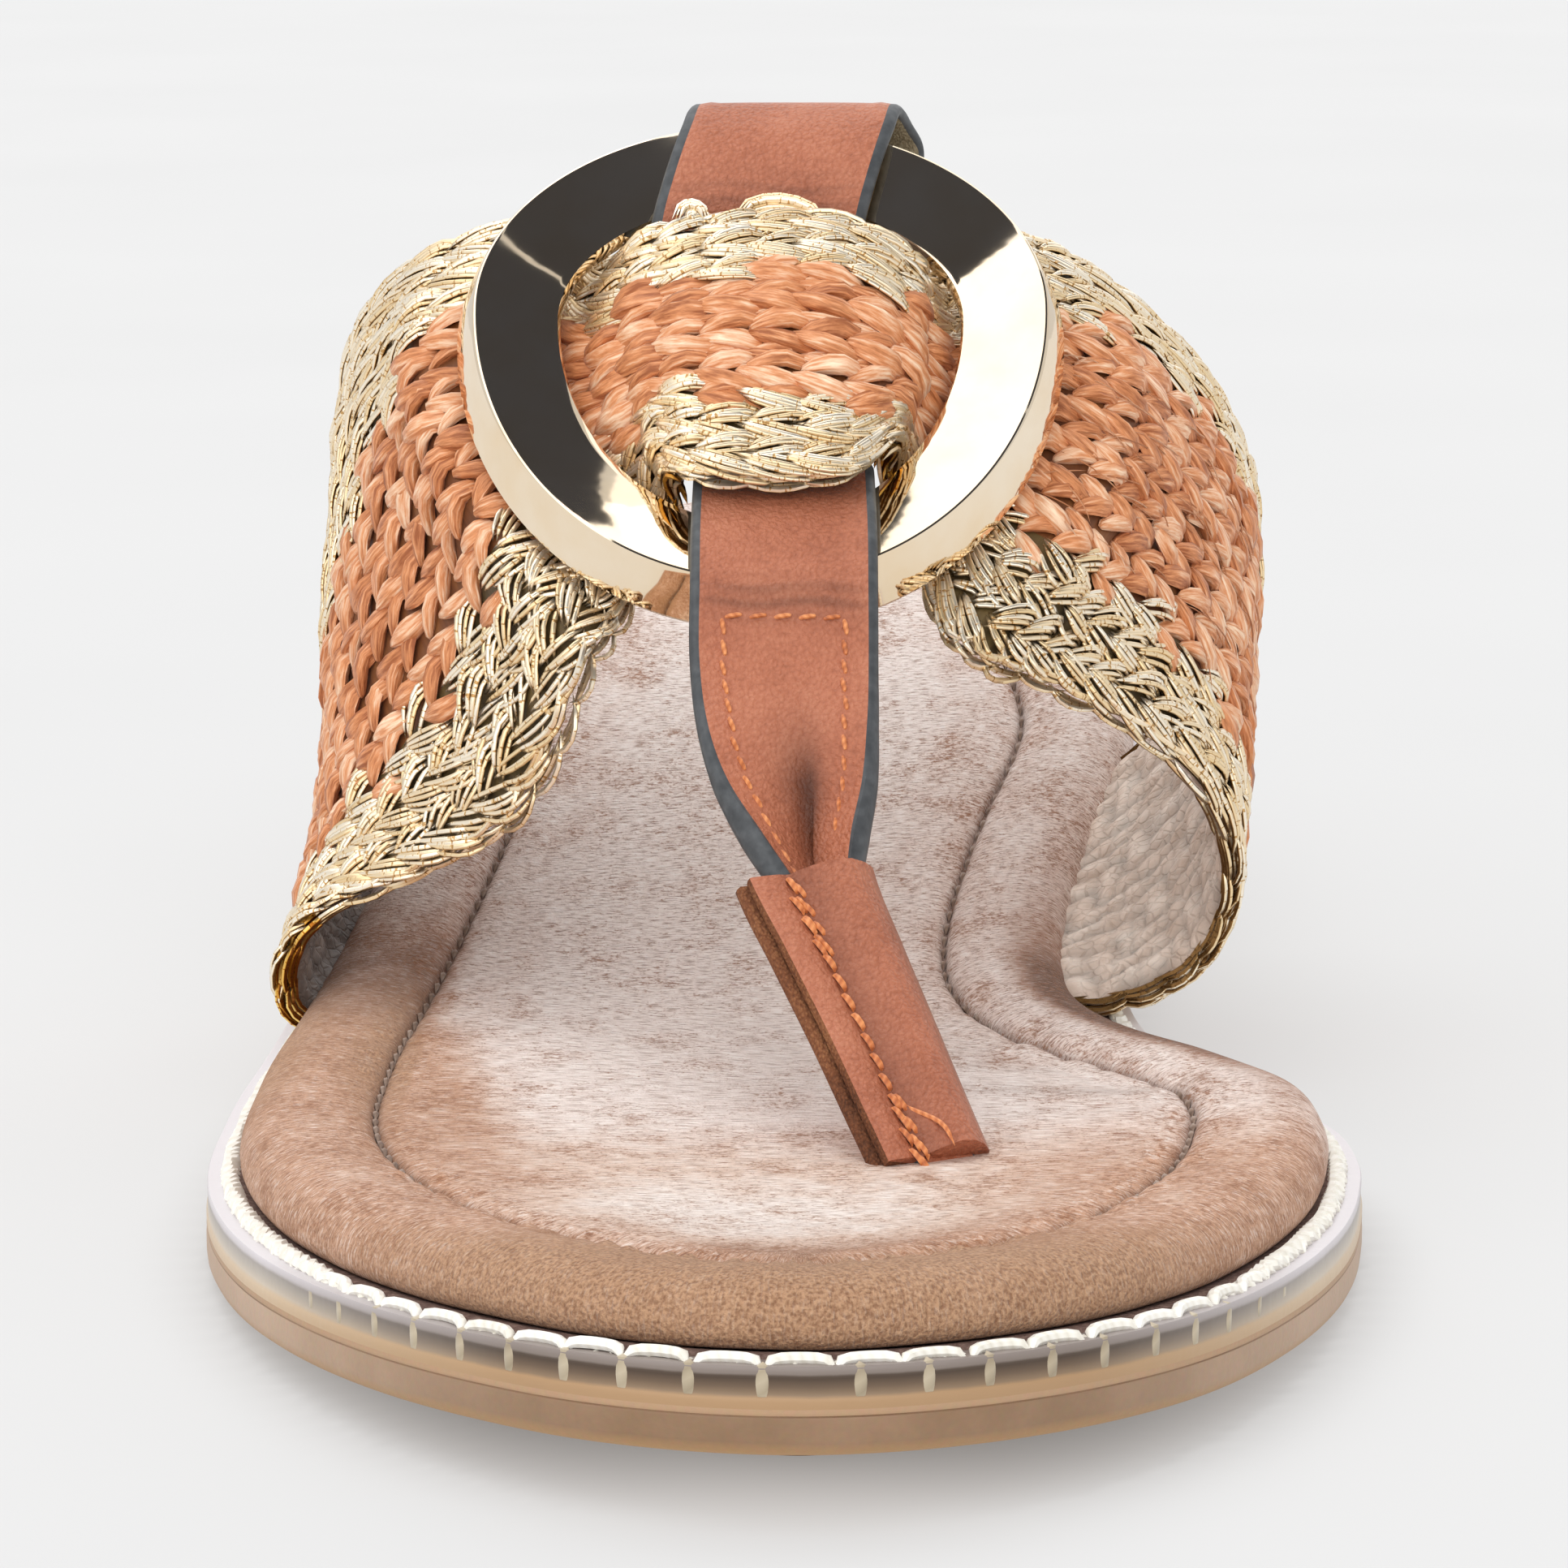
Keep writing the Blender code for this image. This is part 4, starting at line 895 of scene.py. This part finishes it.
def rowPitch(s):  # the knit is drawn out where it passes through the ring
    return band["pitch"] + band["holeStretch"] * holeShare(s)


def backEdge(s):  # knit column where the gold of the back edge begins; wider on the lateral side's upper half
    return 9.5 - 1.5 * pastKnot(s, 4, 6) * pastKnot(s, 10, 8)


def makeBandCloth():
    wide = 73
    columns = np.linspace(0, band["columns"], wide)
    along = np.linspace(0, bandLength, 460)[:, None]
    body = ease(np.minimum(along, bandLength - along) / 1.5)
    share = np.linspace(0, 1, wide)
    edge = np.sin(np.pi * np.clip(np.minimum(share, 1 - share) * 14, 0, 0.5))
    outer, _ = bandAt(along, columns, band["baseLift"] * body * edge)
    # the knit columns press through the lining as ribs, broken into pebbles by cross creases
    wavy = columns + 0.3 * np.sin(along * 0.55 + columns * 1.7) + 0.15 * np.sin(along * 1.3 + columns * 3.1)
    whole = np.clip(np.floor(wavy), 0, band["columns"])
    offset = chance.uniform(0, band["ribPitch"], band["columns"] + 1)[whole.astype(int)]
    rib = np.sin(np.pi * np.clip(wavy - whole, 0, 1)) ** 0.7
    sway = 0.5 * np.sin(along * 0.9) + 0.3 * np.sin(along * 0.37 + 1)
    pebble = np.abs(np.sin(np.pi * (along + offset + sway) / band["ribPitch"])) ** 0.6
    full = rib * (0.45 + 0.55 * pebble)
    inner, _ = bandAt(along, columns, (band["liningLift"] - band["ribHeight"] * full) * body * edge)
    points = np.concatenate([outer, inner[:, ::-1], outer[:, :1]], axis=1)
    valley = np.concatenate([full * 0, 1 - full[:, ::-1], full[:, :1] * 0], axis=1)
    golden = (columns < 2.6) | (columns > backEdge(along) + 0.1)
    paint = lambda row, column: 2 if column >= wide - 1 else int(golden[row, column])
    cloth = bentGrid(place(points), paint, {"valley": valley})
    finishPiece(cloth, "bandCloth", ["shadedRaffiaBack", "shadedGoldBack", "lining"], "band", 60)


def knitArms():
    # one arm of each V stitch: start, column and side; and which arms are gold at the front and back edges
    starts = [bandKnots[1] + 1.0]
    while starts[-1] < bandKnots[-2] - 5.0:
        starts.append(starts[-1] + rowPitch(starts[-1]))
    arms, front, back = [], [], []
    for k, start in enumerate(starts):
        for column in range(band["columns"]):
            for side in (-1, 1):
                spot = column + 0.5 + 0.25 * side
                arms.append((start, column, side))
                # teeth of gold between the raffia
                front.append(spot < 2.5 + 0.5 * (k % 3 == 0) - 0.5 * (k % 3 == 1))
                back.append(spot > backEdge(start) - 0.5 * (k % 3 == 1) + 0.3 * (k % 3 == 2))
    return np.array(arms), np.array(front), np.array(back)


def armPath(arms, share, reach, spread, lift, bulge, dive):
    # an arm rises out of the stitch before it, swings aside and dives under the next one
    count = len(arms)
    start, column, side = arms[:, :1], arms[:, 1:2], arms[:, 2:3]
    begin, end = (np.where(side < 0, a, b) for a, b in zip(*reach))
    s = start + wander(0.18, count) + (begin + (end - begin) * share) * rowPitch(start)
    swing = spread[0] + (spread[1] - spread[0]) * np.sin(0.5 * np.pi * np.clip(share * 1.2, 0, 1))
    swing = swing - 0.07 * ease((share - 0.78) / 0.22)
    folded = holeShare(s) * np.isin(column, foldedColumns)
    column = column + 0.5 + side * swing * chance.normal(1, 0.1, (count, 1)) + wander(0.05, count)
    arch = np.sin(np.pi * (0.14 + 0.86 * share)) ** 0.9
    rise = lift + bulge * arch - dive * ease((share - 0.68) / 0.32) + wander(0.12, count) - 0.35 * folded
    return s, column, rise, 1 - 0.35 * folded


def makeRaffia(arms):
    count = len(arms)
    share = np.array([0, 0.05, 0.2, 0.4, 0.6, 0.82, 0.96, 1.0])
    s, column, rise, slim = armPath(arms, share, ((-0.15, 1.5), (0.0, 1.4)), (0.02, 0.47), 0.0, 0.85, 0.55)
    shape = np.array([0.0, 0.5, 0.84, 1.04, 1.03, 0.9, 0.62, 0.0])
    slim = slim * np.where(arms[:, 2:3] < 0, 1.0, 0.88) * vary(0.82, 1.12, count)
    phase = vary(0, 6.3, count)[..., None]
    ripple = lambda turn: 1 + 0.16 * np.cos(3 * turn + phase + 2.4 * share[None, :, None])
    widths, heights = (shape * slim * band[key] * mm for key in ("raffiaWidth", "raffiaHeight"))
    makeStrands("bandRaffia", "raffia", "band", *bandAt(s, column, rise), widths, heights, 7, ripple, 70)
    # loose fibres that stand off the knit
    count = band["fibres"]
    start = vary(bandKnots[20], bandKnots[-6], count)
    bend = np.linspace(0, 1, 7)
    lean = vary(-0.9, 0.9, count)
    s = start + bend * vary(4, 10, count)
    column = vary(3.2, 8, count) + lean * bend
    lift = 0.95 + vary(0.1, 0.6, count) * np.sin(np.pi * bend)
    thick = np.broadcast_to(np.array([0, 1, 1, 1, 1, 0.8, 0]) * 0.07 * mm, lift.shape)
    makeStrands("looseFibres", "raffia", "band", *bandAt(s, column, lift), thick, thick, 4, sharp=70)


def goldWidths(count):
    return np.array([0, 0.9, 1, 1, 1, 0.9, 0]) * band["goldRadius"] * mm * vary(0.85, 1.12, count)


def makeGold(name, arms):
    count = len(arms)
    share = np.linspace(0, 1, 7)
    s, column, rise, _ = armPath(arms, share, ((-0.25, 1.6), (0.0, 1.45)), (0.0, 0.46), 0.05, 0.75, 0.4)
    strands = band["goldStrands"]
    sets = []
    for k in range(strands):
        aside = (k - (strands - 1) / 2) / strands
        fan = aside * 0.72 * (0.5 + 0.5 * np.sin(np.pi * share)) + wander(0.015, count)
        high = rise + 0.36 * (1 - (2 * aside) ** 2) + wander(0.05, count)
        sets.append(bandAt(s + wander(0.3, count), column + fan, high))
    paths, normals = (np.concatenate(c) for c in zip(*sets))
    widths = goldWidths(len(paths))
    makeStrands(name, "gold", "band", paths, normals, widths, widths * 0.9, 6, sharp=70)


def makeGoldEdges():
    # loops of foil yarn that turn over the band's two edges, in a darker gold painted as shade where they meet the
    # sole at the lateral foot
    step = band["pitch"] * 1.25
    starts = np.arange(bandKnots[1] + 1.0, bandKnots[-2] - 1.0, step)[:, None]
    count = len(starts)
    share = np.linspace(0, 1, 7)
    hump = np.sin(np.pi * share)
    sets = []  # paths, normals, which of them take the darker gold painted as shade
    for edge, outside in ((0.0, -1), (float(band["columns"]), 1)):
        for k in range(6):
            reach = vary(1.25, 1.6, count)
            s = starts + (share - 0.12) * reach * step + wander(0.25, count)
            swell = (0.12 + 0.2 * (k % 3) / 2) * hump ** 0.8 * vary(0.6, 1.3, count)
            column = edge + outside * (swell - 0.07 * max(k - 2, 0))
            lift = -0.75 + 0.3 * k + 0.25 * hump + wander(0.08, count)
            sets.append((*bandAt(s, column, lift), (outside < 0) & (starts[:, 0] < bandKnots[3] + 2)))
    # the gathered edge fills the hole beside the strap, in shade; most of its loops take the darker gold painted as
    # shade
    for first, last, deep in ((bandKnots[10] + 2, bandKnots[13] + 1, 0.95), (bandKnots[16] + 2, bandKnots[19], 1.1)):
        for k in range(26):
            s = vary(first, last - 4, 1) + share * vary(4, 6.5, 1)
            column = 0.1 - deep * chance.uniform(0, 1) + 0.2 * hump
            sets.append((*bandAt(s, column, chance.uniform(-1.2, 0.7) + 0.4 * hump), [k % 4 > 0]))
    # bundles of yarn looped up over the keeper at the hole's top, laid out in the ring's plane
    outOfRing = (0.0, -math.sin(ring["slope"]), math.cos(ring["slope"]))
    for left, right, high in ((-2.6, 6.0, 3.6), (-7.6, -4.2, 2.6)):
        for k in range(6):
            u = left + 0.32 * k + (right - left - 0.64 * k) * share
            v = 7.6 + (high - 0.42 * k) * hump ** 0.5 - 0.1 * (u - left)
            paths = onRing(u, v, 4.4 - 0.16 * (v - 7.6) + 0.1 * (k % 3))[None]
            sets.append((paths, np.broadcast_to(outOfRing, paths.shape), [False]))
    paths, normals, goldInShade = (np.concatenate(c) for c in zip(*sets))
    widths = goldWidths(len(paths))
    for name, material, chosen in (("bandGoldEdges", "gold", ~goldInShade), ("bandGoldInShade", "goldInShade", goldInShade)):
        wide = widths[chosen]
        makeStrands(name, material, "band", paths[chosen], normals[chosen], wide, wide, 5, sharp=70)


makeBandCloth()
knit, goldFront, goldBack = knitArms()
makeRaffia(knit[~goldFront & ~goldBack])
makeGold("bandGoldFront", knit[goldFront])
makeGold("bandGoldBack", knit[goldBack])
makeGoldEdges()


# Leather: keeper loop at the ring's top, toe strap and its sleeve
keeper = {"width": 18.4, "x": 0.3, "thickness": 1.2, "edge": 0.5}
keeperPath = np.array((  # up the ring's face, out of it, aside
    (22.7, -1, 1.8), (21.9, 2.0, 0.8), (18.6, 3.4, 0), (13.4, 2.9, -1.5), (9.2, 1.2, -2.6), (7.6, -1.2, -2.8),
    (9.4, -4.1, -2.6), (14.4, -4.5, 0), (20.4, -4.6, 2.7), (22.4, -3.5, 2.8)))
stripWide = 23  # points across one side of a leather strip


def stripSection(corner=0.45):
    # closed section of a leather strip: across (-1..1) and side (-1 flesh, 1 grain), with rounded edges
    across = np.concatenate([[-1], np.linspace(-0.95, 0.95, stripWide - 2), [1]])
    top = [(w, 1.0) for w in across]
    right = [(1 + corner * c, s) for c, s in ((0.6, 0.72), (1, 0.3), (1, -0.3), (0.6, -0.72))]
    half = np.array(top + right)
    return np.concatenate([half, -half, half[:1]])


def stripPaint(row, column):  # grain side, painted edges, flesh side
    if 0 < column < stripWide - 2:
        return 0
    return 2 if stripWide + 3 < column < 2 * stripWide + 3 else 1


def makeKeeper():
    closed = np.concatenate([keeperPath[-3:], keeperPath, keeperPath[:4]])
    knots = pathLength(closed[:, :2])
    at = np.linspace(knots[3], knots[3 + len(keeperPath)], 121)
    centre = throughRows(knots, closed, at)
    ahead = throughRows(knots, closed, at + 0.05) - throughRows(knots, closed, at - 0.05)
    out = unit(np.column_stack([ahead[:, 1], -ahead[:, 0]]))
    section = stripSection(keeper["edge"])
    w = np.clip(section[:, 0], -1, 1)
    u = keeper["x"] - ring["x"] + w * (keeper["width"] / 2 - keeper["edge"]) + section[:, 0] - w
    crown = 0.15 * (1 - np.abs(w) ** 4) + 0.1 * np.exp(-((np.abs(w) - 0.86) / 0.05) ** 2)  # a bead along the edges
    lift = section[:, 1] * keeper["thickness"] / 2 + crown * (section[:, 1] > 0)
    v, n, aside = centre[:, :1], centre[:, 1:2], centre[:, 2:3]
    points = place(onRing(u + aside, v + out[:, :1] * lift, n + out[:, 1:] * lift))
    points[-1] = points[0]
    # painted shade under the gold loops, broken up by painted wrinkle shading
    wrinkles = 0.55 + 0.45 * np.sin(v * 4.2 + 1.6 * np.sin(w * 4.0))
    shade = 0.3 * np.exp(-((v - 11.2) / 2.2) ** 2) * (n > 0) * wrinkles * (1 - w ** 6)
    loop = bentGrid(points, stripPaint, {"shade": shade})
    finishPiece(loop, "keeperLoop", ["leather", "edgePaint", "flesh"], "keeper_loop", 50)


strapLoop = ((-37.6, -1.6, 7.4, 1.3), (-33, -3.8, 7.6, 1.4), (-27, -4.6, 7.7, 1.4), (-21, -4.4, 7.6, 1.4),
             (-16.8, -3.5, 7.5, 1.4), (-15.2, -1.2, 7.4, 1.4), (-16.6, 0.8, 7.5, 1.4), (-20.4, 2.4, 7.6, 1.4),
             (-25.6, 3.5, 7.7, 1.4), (-30.4, 3.5, 7.7, 1.5), (-36.4, 1.5, 7.7, 1.6))  # v, n, half width, thickness
strapLower = (  # across, along, height, half width, thickness, fold, turn in degrees
    (0.4, 79.6, 40, 7.3, 2.0, 0.8, 0), (1.1, 76.4, 36, 6.5, 2.2, 2.6, -5), (1.9, 73.4, 32.4, 5.0, 2.3, 3.8, -12),
    (2.9, 70.6, 29.2, 3.6, 2.2, 2.4, -18), (5.2, 66.2, 24.7, 3, 1.8, 0.6, -22), (7.8, 61.4, 19.8, 2.9, 1.8, 0, -24),
    (10.4, 56.4, 14.8, 2.9, 1.8, 0, -24), (12.4, 52.6, 11, 2.9, 1.8, 0, -24), (13.8, 49.9, 8.2, 2.9, 1.8, 0, -24))
strapRows = np.array([(*onRing(-ring["x"], v, n), h, t, 0, 0) for v, n, h, t in strapLoop] + list(strapLower), float)
strapKnots = pathLength(strapRows[:, :3])
seamTop = strapKnots[len(strapLoop) - 1] - 3.5  # cross seam under the ring
sleeveTop = strapKnots[len(strapLoop) + 3]


def strapFrames(at):
    at = np.atleast_1d(at)
    before, row, after = (throughRows(strapKnots, strapRows, spot) for spot in (
        np.maximum(at - 0.05, 0), at, np.minimum(at + 0.05, strapKnots[-1])))
    ahead = unit(after[:, :3] - before[:, :3])
    across = unit(np.array([1.0, 0, 0]) - ahead * ahead[:, :1])
    out = np.cross(ahead, across)
    turn = np.radians(row[:, 6:7])
    return row, across * np.cos(turn) + out * np.sin(turn), out * np.cos(turn) - across * np.sin(turn)


def strapFold(row, w):
    # height and slope across the strap where it folds into the sleeve; the crease lies right of the middle
    crease = 0.22
    span = np.where(w > crease, 1 - crease, 1 + crease)
    share = np.abs(w - crease) / span
    soft = np.sqrt(share * share + 0.015)
    return -row[:, 5:6] * (1 - soft), row[:, 5:6] * np.sign(w - crease) * share / soft / span


def strapAt(at, w, lift):
    # point and normal on the strap's grain side; w runs -1..1 across it
    at, w, lift = np.broadcast_arrays(np.asarray(at, float), w, lift)
    row, across, out = strapFrames(at.ravel())
    flat = w.ravel()[:, None]
    high, slope = strapFold(row, flat)
    facing = unit(out * row[:, 3:4] - across * slope)
    spots = row[:, :3] + across * flat * row[:, 3:4] + out * high
    spots = spots + facing * (row[:, 4:5] / 2 + lift.ravel()[:, None])
    return spots.reshape(at.shape + (3,)), facing.reshape(at.shape + (3,))


def makeStrap():
    at = np.linspace(0, strapKnots[-1], 320)
    row, across, out = strapFrames(at)
    at, fold = at[:, None], row[:, 5:6]
    section = stripSection()
    w = np.clip(section[:, 0], -1, 1)[None]
    extra = section[:, 0] - w
    half = row[:, 3:4] - 0.45
    high, slope = strapFold(row, w)
    steep = np.hypot(half, slope)
    creased = np.exp(-((at - seamTop + 2.4) / 2.0) ** 2) * np.sin(at * 4.6 + 1.2 * np.sin(w * 3)) * (1 - w ** 4)
    gathered = np.clip(fold / 3, 0, 1) * np.sin(w * 17 + at * 0.7) * np.exp(-((w - 0.1) / 0.45) ** 2)
    lift = section[None, :, 1] * row[:, 4:5] / 2 + 0.1 * creased + 0.1 * gathered
    sideways = (w * half + half / steep * extra - slope / steep * lift)[..., None]
    outwards = (high + slope / steep * extra + half / steep * lift)[..., None]
    points = row[:, None, :3] + across[:, None] * sideways + out[:, None] * outwards
    for end in (0, -1):  # both ends close on their middle, out of sight
        points[end] = points[end].mean(axis=0)
    # painted shade in the fold's valley, above the cross seam and where the strap tucks round the ring
    valley = np.clip(fold / 2.4, 0, 1) ** 1.3 * np.exp(-((w - 0.2) / np.where(w < 0.2, 0.42, 0.22)) ** 2)
    above = np.exp(-((at - seamTop + 1.4) / 1.6) ** 2) * (1 - w ** 6) * (0.7 + 0.3 * np.sin(at * 4.6 + np.sin(w * 5)))
    tucked = np.exp(-((at - strapKnots[7]) / 2.6) ** 2)
    shade = np.clip(0.9 * valley + 0.5 * above + 0.5 * tucked, 0, 0.85)
    strap = bentGrid(place(points), stripPaint, {"shade": shade})
    finishPiece(strap, "toeStrap", ["leather", "edgePaint", "cutLeather"], "toe_strap", 50)


sleeve = {"topScale": 1.06, "bottomScale": 0.9, "seam": -2.9, "seamHeight": 1.2, "footAlong": 52.0}
sleeveSection = np.array((  # two layers sewn together on the left, a tube on the right: across, out, shade painted down the tube's slopes
    (-5.1, 0.0, 0.75), (-5.85, 0.14, 0), (-5.95, 0.6, 0), (-5.9, 1.05, 0), (-5.7, 1.18, 0), (-4.6, 1.28, 0),
    (-3.6, 1.3, 0.1), (-3.1, 1.12, 0.35), (-2.7, 1.12, 0.45), (-2.2, 1.6, 0.4), (-1.2, 2.35, 0.22), (0.3, 3.1, 0.06),
    (1.8, 3.0, 0.04), (3.1, 2.25, 0.12), (4.1, 1.25, 0.26), (4.55, 0.1, 0.4), (4.3, -1.1, 0), (3.3, -2.1, 0),
    (1.6, -2.6, 0), (-0.4, -2.6, 0), (-2.4, -2.1, 0), (-3.6, -1.5, 0), (-5.0, -1.35, 0), (-6.2, -1.28, 0),
    (-6.42, -1.1, 0), (-6.45, -0.6, 0), (-6.3, -0.14, 0), (-5.1, 0.0, 0.75)))


def sleeveScale(at):  # the sleeve narrows towards its foot
    return np.interp(at, (at[0], at[-1]), (sleeve["topScale"], sleeve["bottomScale"]))[:, None]


def makeSleeve():
    seat = insoleBottom(sleeve["footAlong"]) + insolePad["field"] + 0.2
    at = np.linspace(sleeveTop - 0.6, strapKnots[-1] - 2.0, 70)
    row, across, out = strapFrames(at)
    sideways = sleeveSection[:, 0] * sleeveScale(at)
    outwards = sleeveSection[:, 1] - np.where(sleeveSection[:, 1] < -1.4, np.maximum(row[:, 5:6] - 1.0, 0) * 1.2, 0)
    outwards[:, 7:10] += 0.07 * np.sin(at * 3.0)[:, None]  # the seam pulls the leather in at each stitch
    outer = row[:, None, :3] + across[:, None] * sideways[..., None] + out[:, None] * outwards[..., None]
    outer = outer[outer[:, :, 2].min(axis=1) > seat - 3.0]
    middle = outer[:1].mean(axis=1, keepdims=True)
    lip = middle + (outer[:1] - middle) * 0.72
    foot = outer[-1:].mean(axis=1, keepdims=True) + outer[-1:] * 0
    points = np.concatenate([lip + (outer[4:5] - outer[:1]) * 1.5, lip, outer[:1] * 0.94 + lip * 0.06, outer, foot])
    paint = lambda row, column: int(column < 3 or column > 23 or row < 2)
    rows = len(points)
    # painted shade down the tube, fainter near its top
    shade = sleeveSection[:, 2] * np.interp(np.arange(rows), (0, 4, rows - 8), (0.6, 0.8, 1))[:, None]
    tube = bentGrid(place(points), paint, {"shade": shade})
    finishPiece(tube, "postSleeve", ["leather", "cutLeather"], "post_sleeve", 50)


def stitchLine(points, normals, pitch, share=0.78, radius=0.28, sink=0.3, lean=0.14):
    # short arched stitches along a line on the leather, each lying a little askew
    lengths = pathLength(points)
    count = max(int(round(lengths[-1] / pitch)), 1)
    step = lengths[-1] / count
    spread = np.linspace(-1, 1, 7)
    at = (np.arange(count)[:, None] + 0.5 + spread * share / 2) * step
    spots, facing = between(at, lengths, points), unit(between(at, lengths, normals))
    aside = unit(np.cross(facing, np.gradient(spots, axis=1)))
    bow = 1 - np.abs(spread) ** 4
    askew = lean * spread[None] + wander(0.05, count)
    spots = spots + facing * (radius * 0.75 * bow - sink * (1 - bow))[:, None] + aside * askew[..., None]
    thick = np.broadcast_to(np.array([0, 0.85, 1, 1, 1, 0.85, 0]) * radius, at.shape)
    return spots, facing, thick


def makeLeatherStitches():
    sets = [stitchLine(*strapAt(np.full(30, seamTop), np.linspace(-0.66, 0.64, 30), 0.0), 2.0, 0.85, 0.2)]
    for side, end in ((-0.64, sleeveTop - 0.4), (0.64, sleeveTop - 5.0)):
        sets.append(stitchLine(*strapAt(np.linspace(seamTop, end, 60), side, 0.0), 1.75, 0.9, 0.2))
    # seam down the sleeve beside its tube, doubled at both ends
    at = np.linspace(sleeveTop - 0.4, strapKnots[-1] - 3.0, 50)
    row, across, out = strapFrames(at)
    seam = row[:, :3] + across * sleeve["seam"] * sleeveScale(at) + out * sleeve["seamHeight"]
    sets.append(stitchLine(seam, out, 1.9, 0.95, 0.28, lean=0.22))
    for first, last, shift in ((1, 15, 0.35), (3, 15, -0.3), (36, 48, 0.4), (38, 49, -0.35)):
        doubled = (seam + across * shift + out * 0.12)[first:last]
        sets.append(stitchLine(doubled, out[first:last], 2.1, 0.95, 0.24, lean=0.3))
    spots, facing, thick = (np.concatenate(c) for c in zip(*sets))
    makeStrands("leatherStitches", "orangeThread", "leather", spots, facing, thick * mm, thick * mm * 0.9, 6)
    # loose end of the seam's thread over the sleeve's foot
    share = np.linspace(0, 1, 9)
    k = (38 + 9 * share).astype(int)
    aside, lift = 0.5 + 1.7 * np.sin(1.6 * share), 0.3 + 1.5 * ease(share * 1.3)
    loose = seam[k] + across[k] * aside[:, None] + out[k] * lift[:, None]
    thick = np.array([[0, 1, 1, 1, 1, 1, 1, 0.9, 0]]) * 0.2 * mm
    makeStrands("looseThread", "orangeThread", "leather", loose[None], out[k][None], thick, thick, 6)


makeKeeper()
makeStrap()
makeSleeve()
makeLeatherStitches()
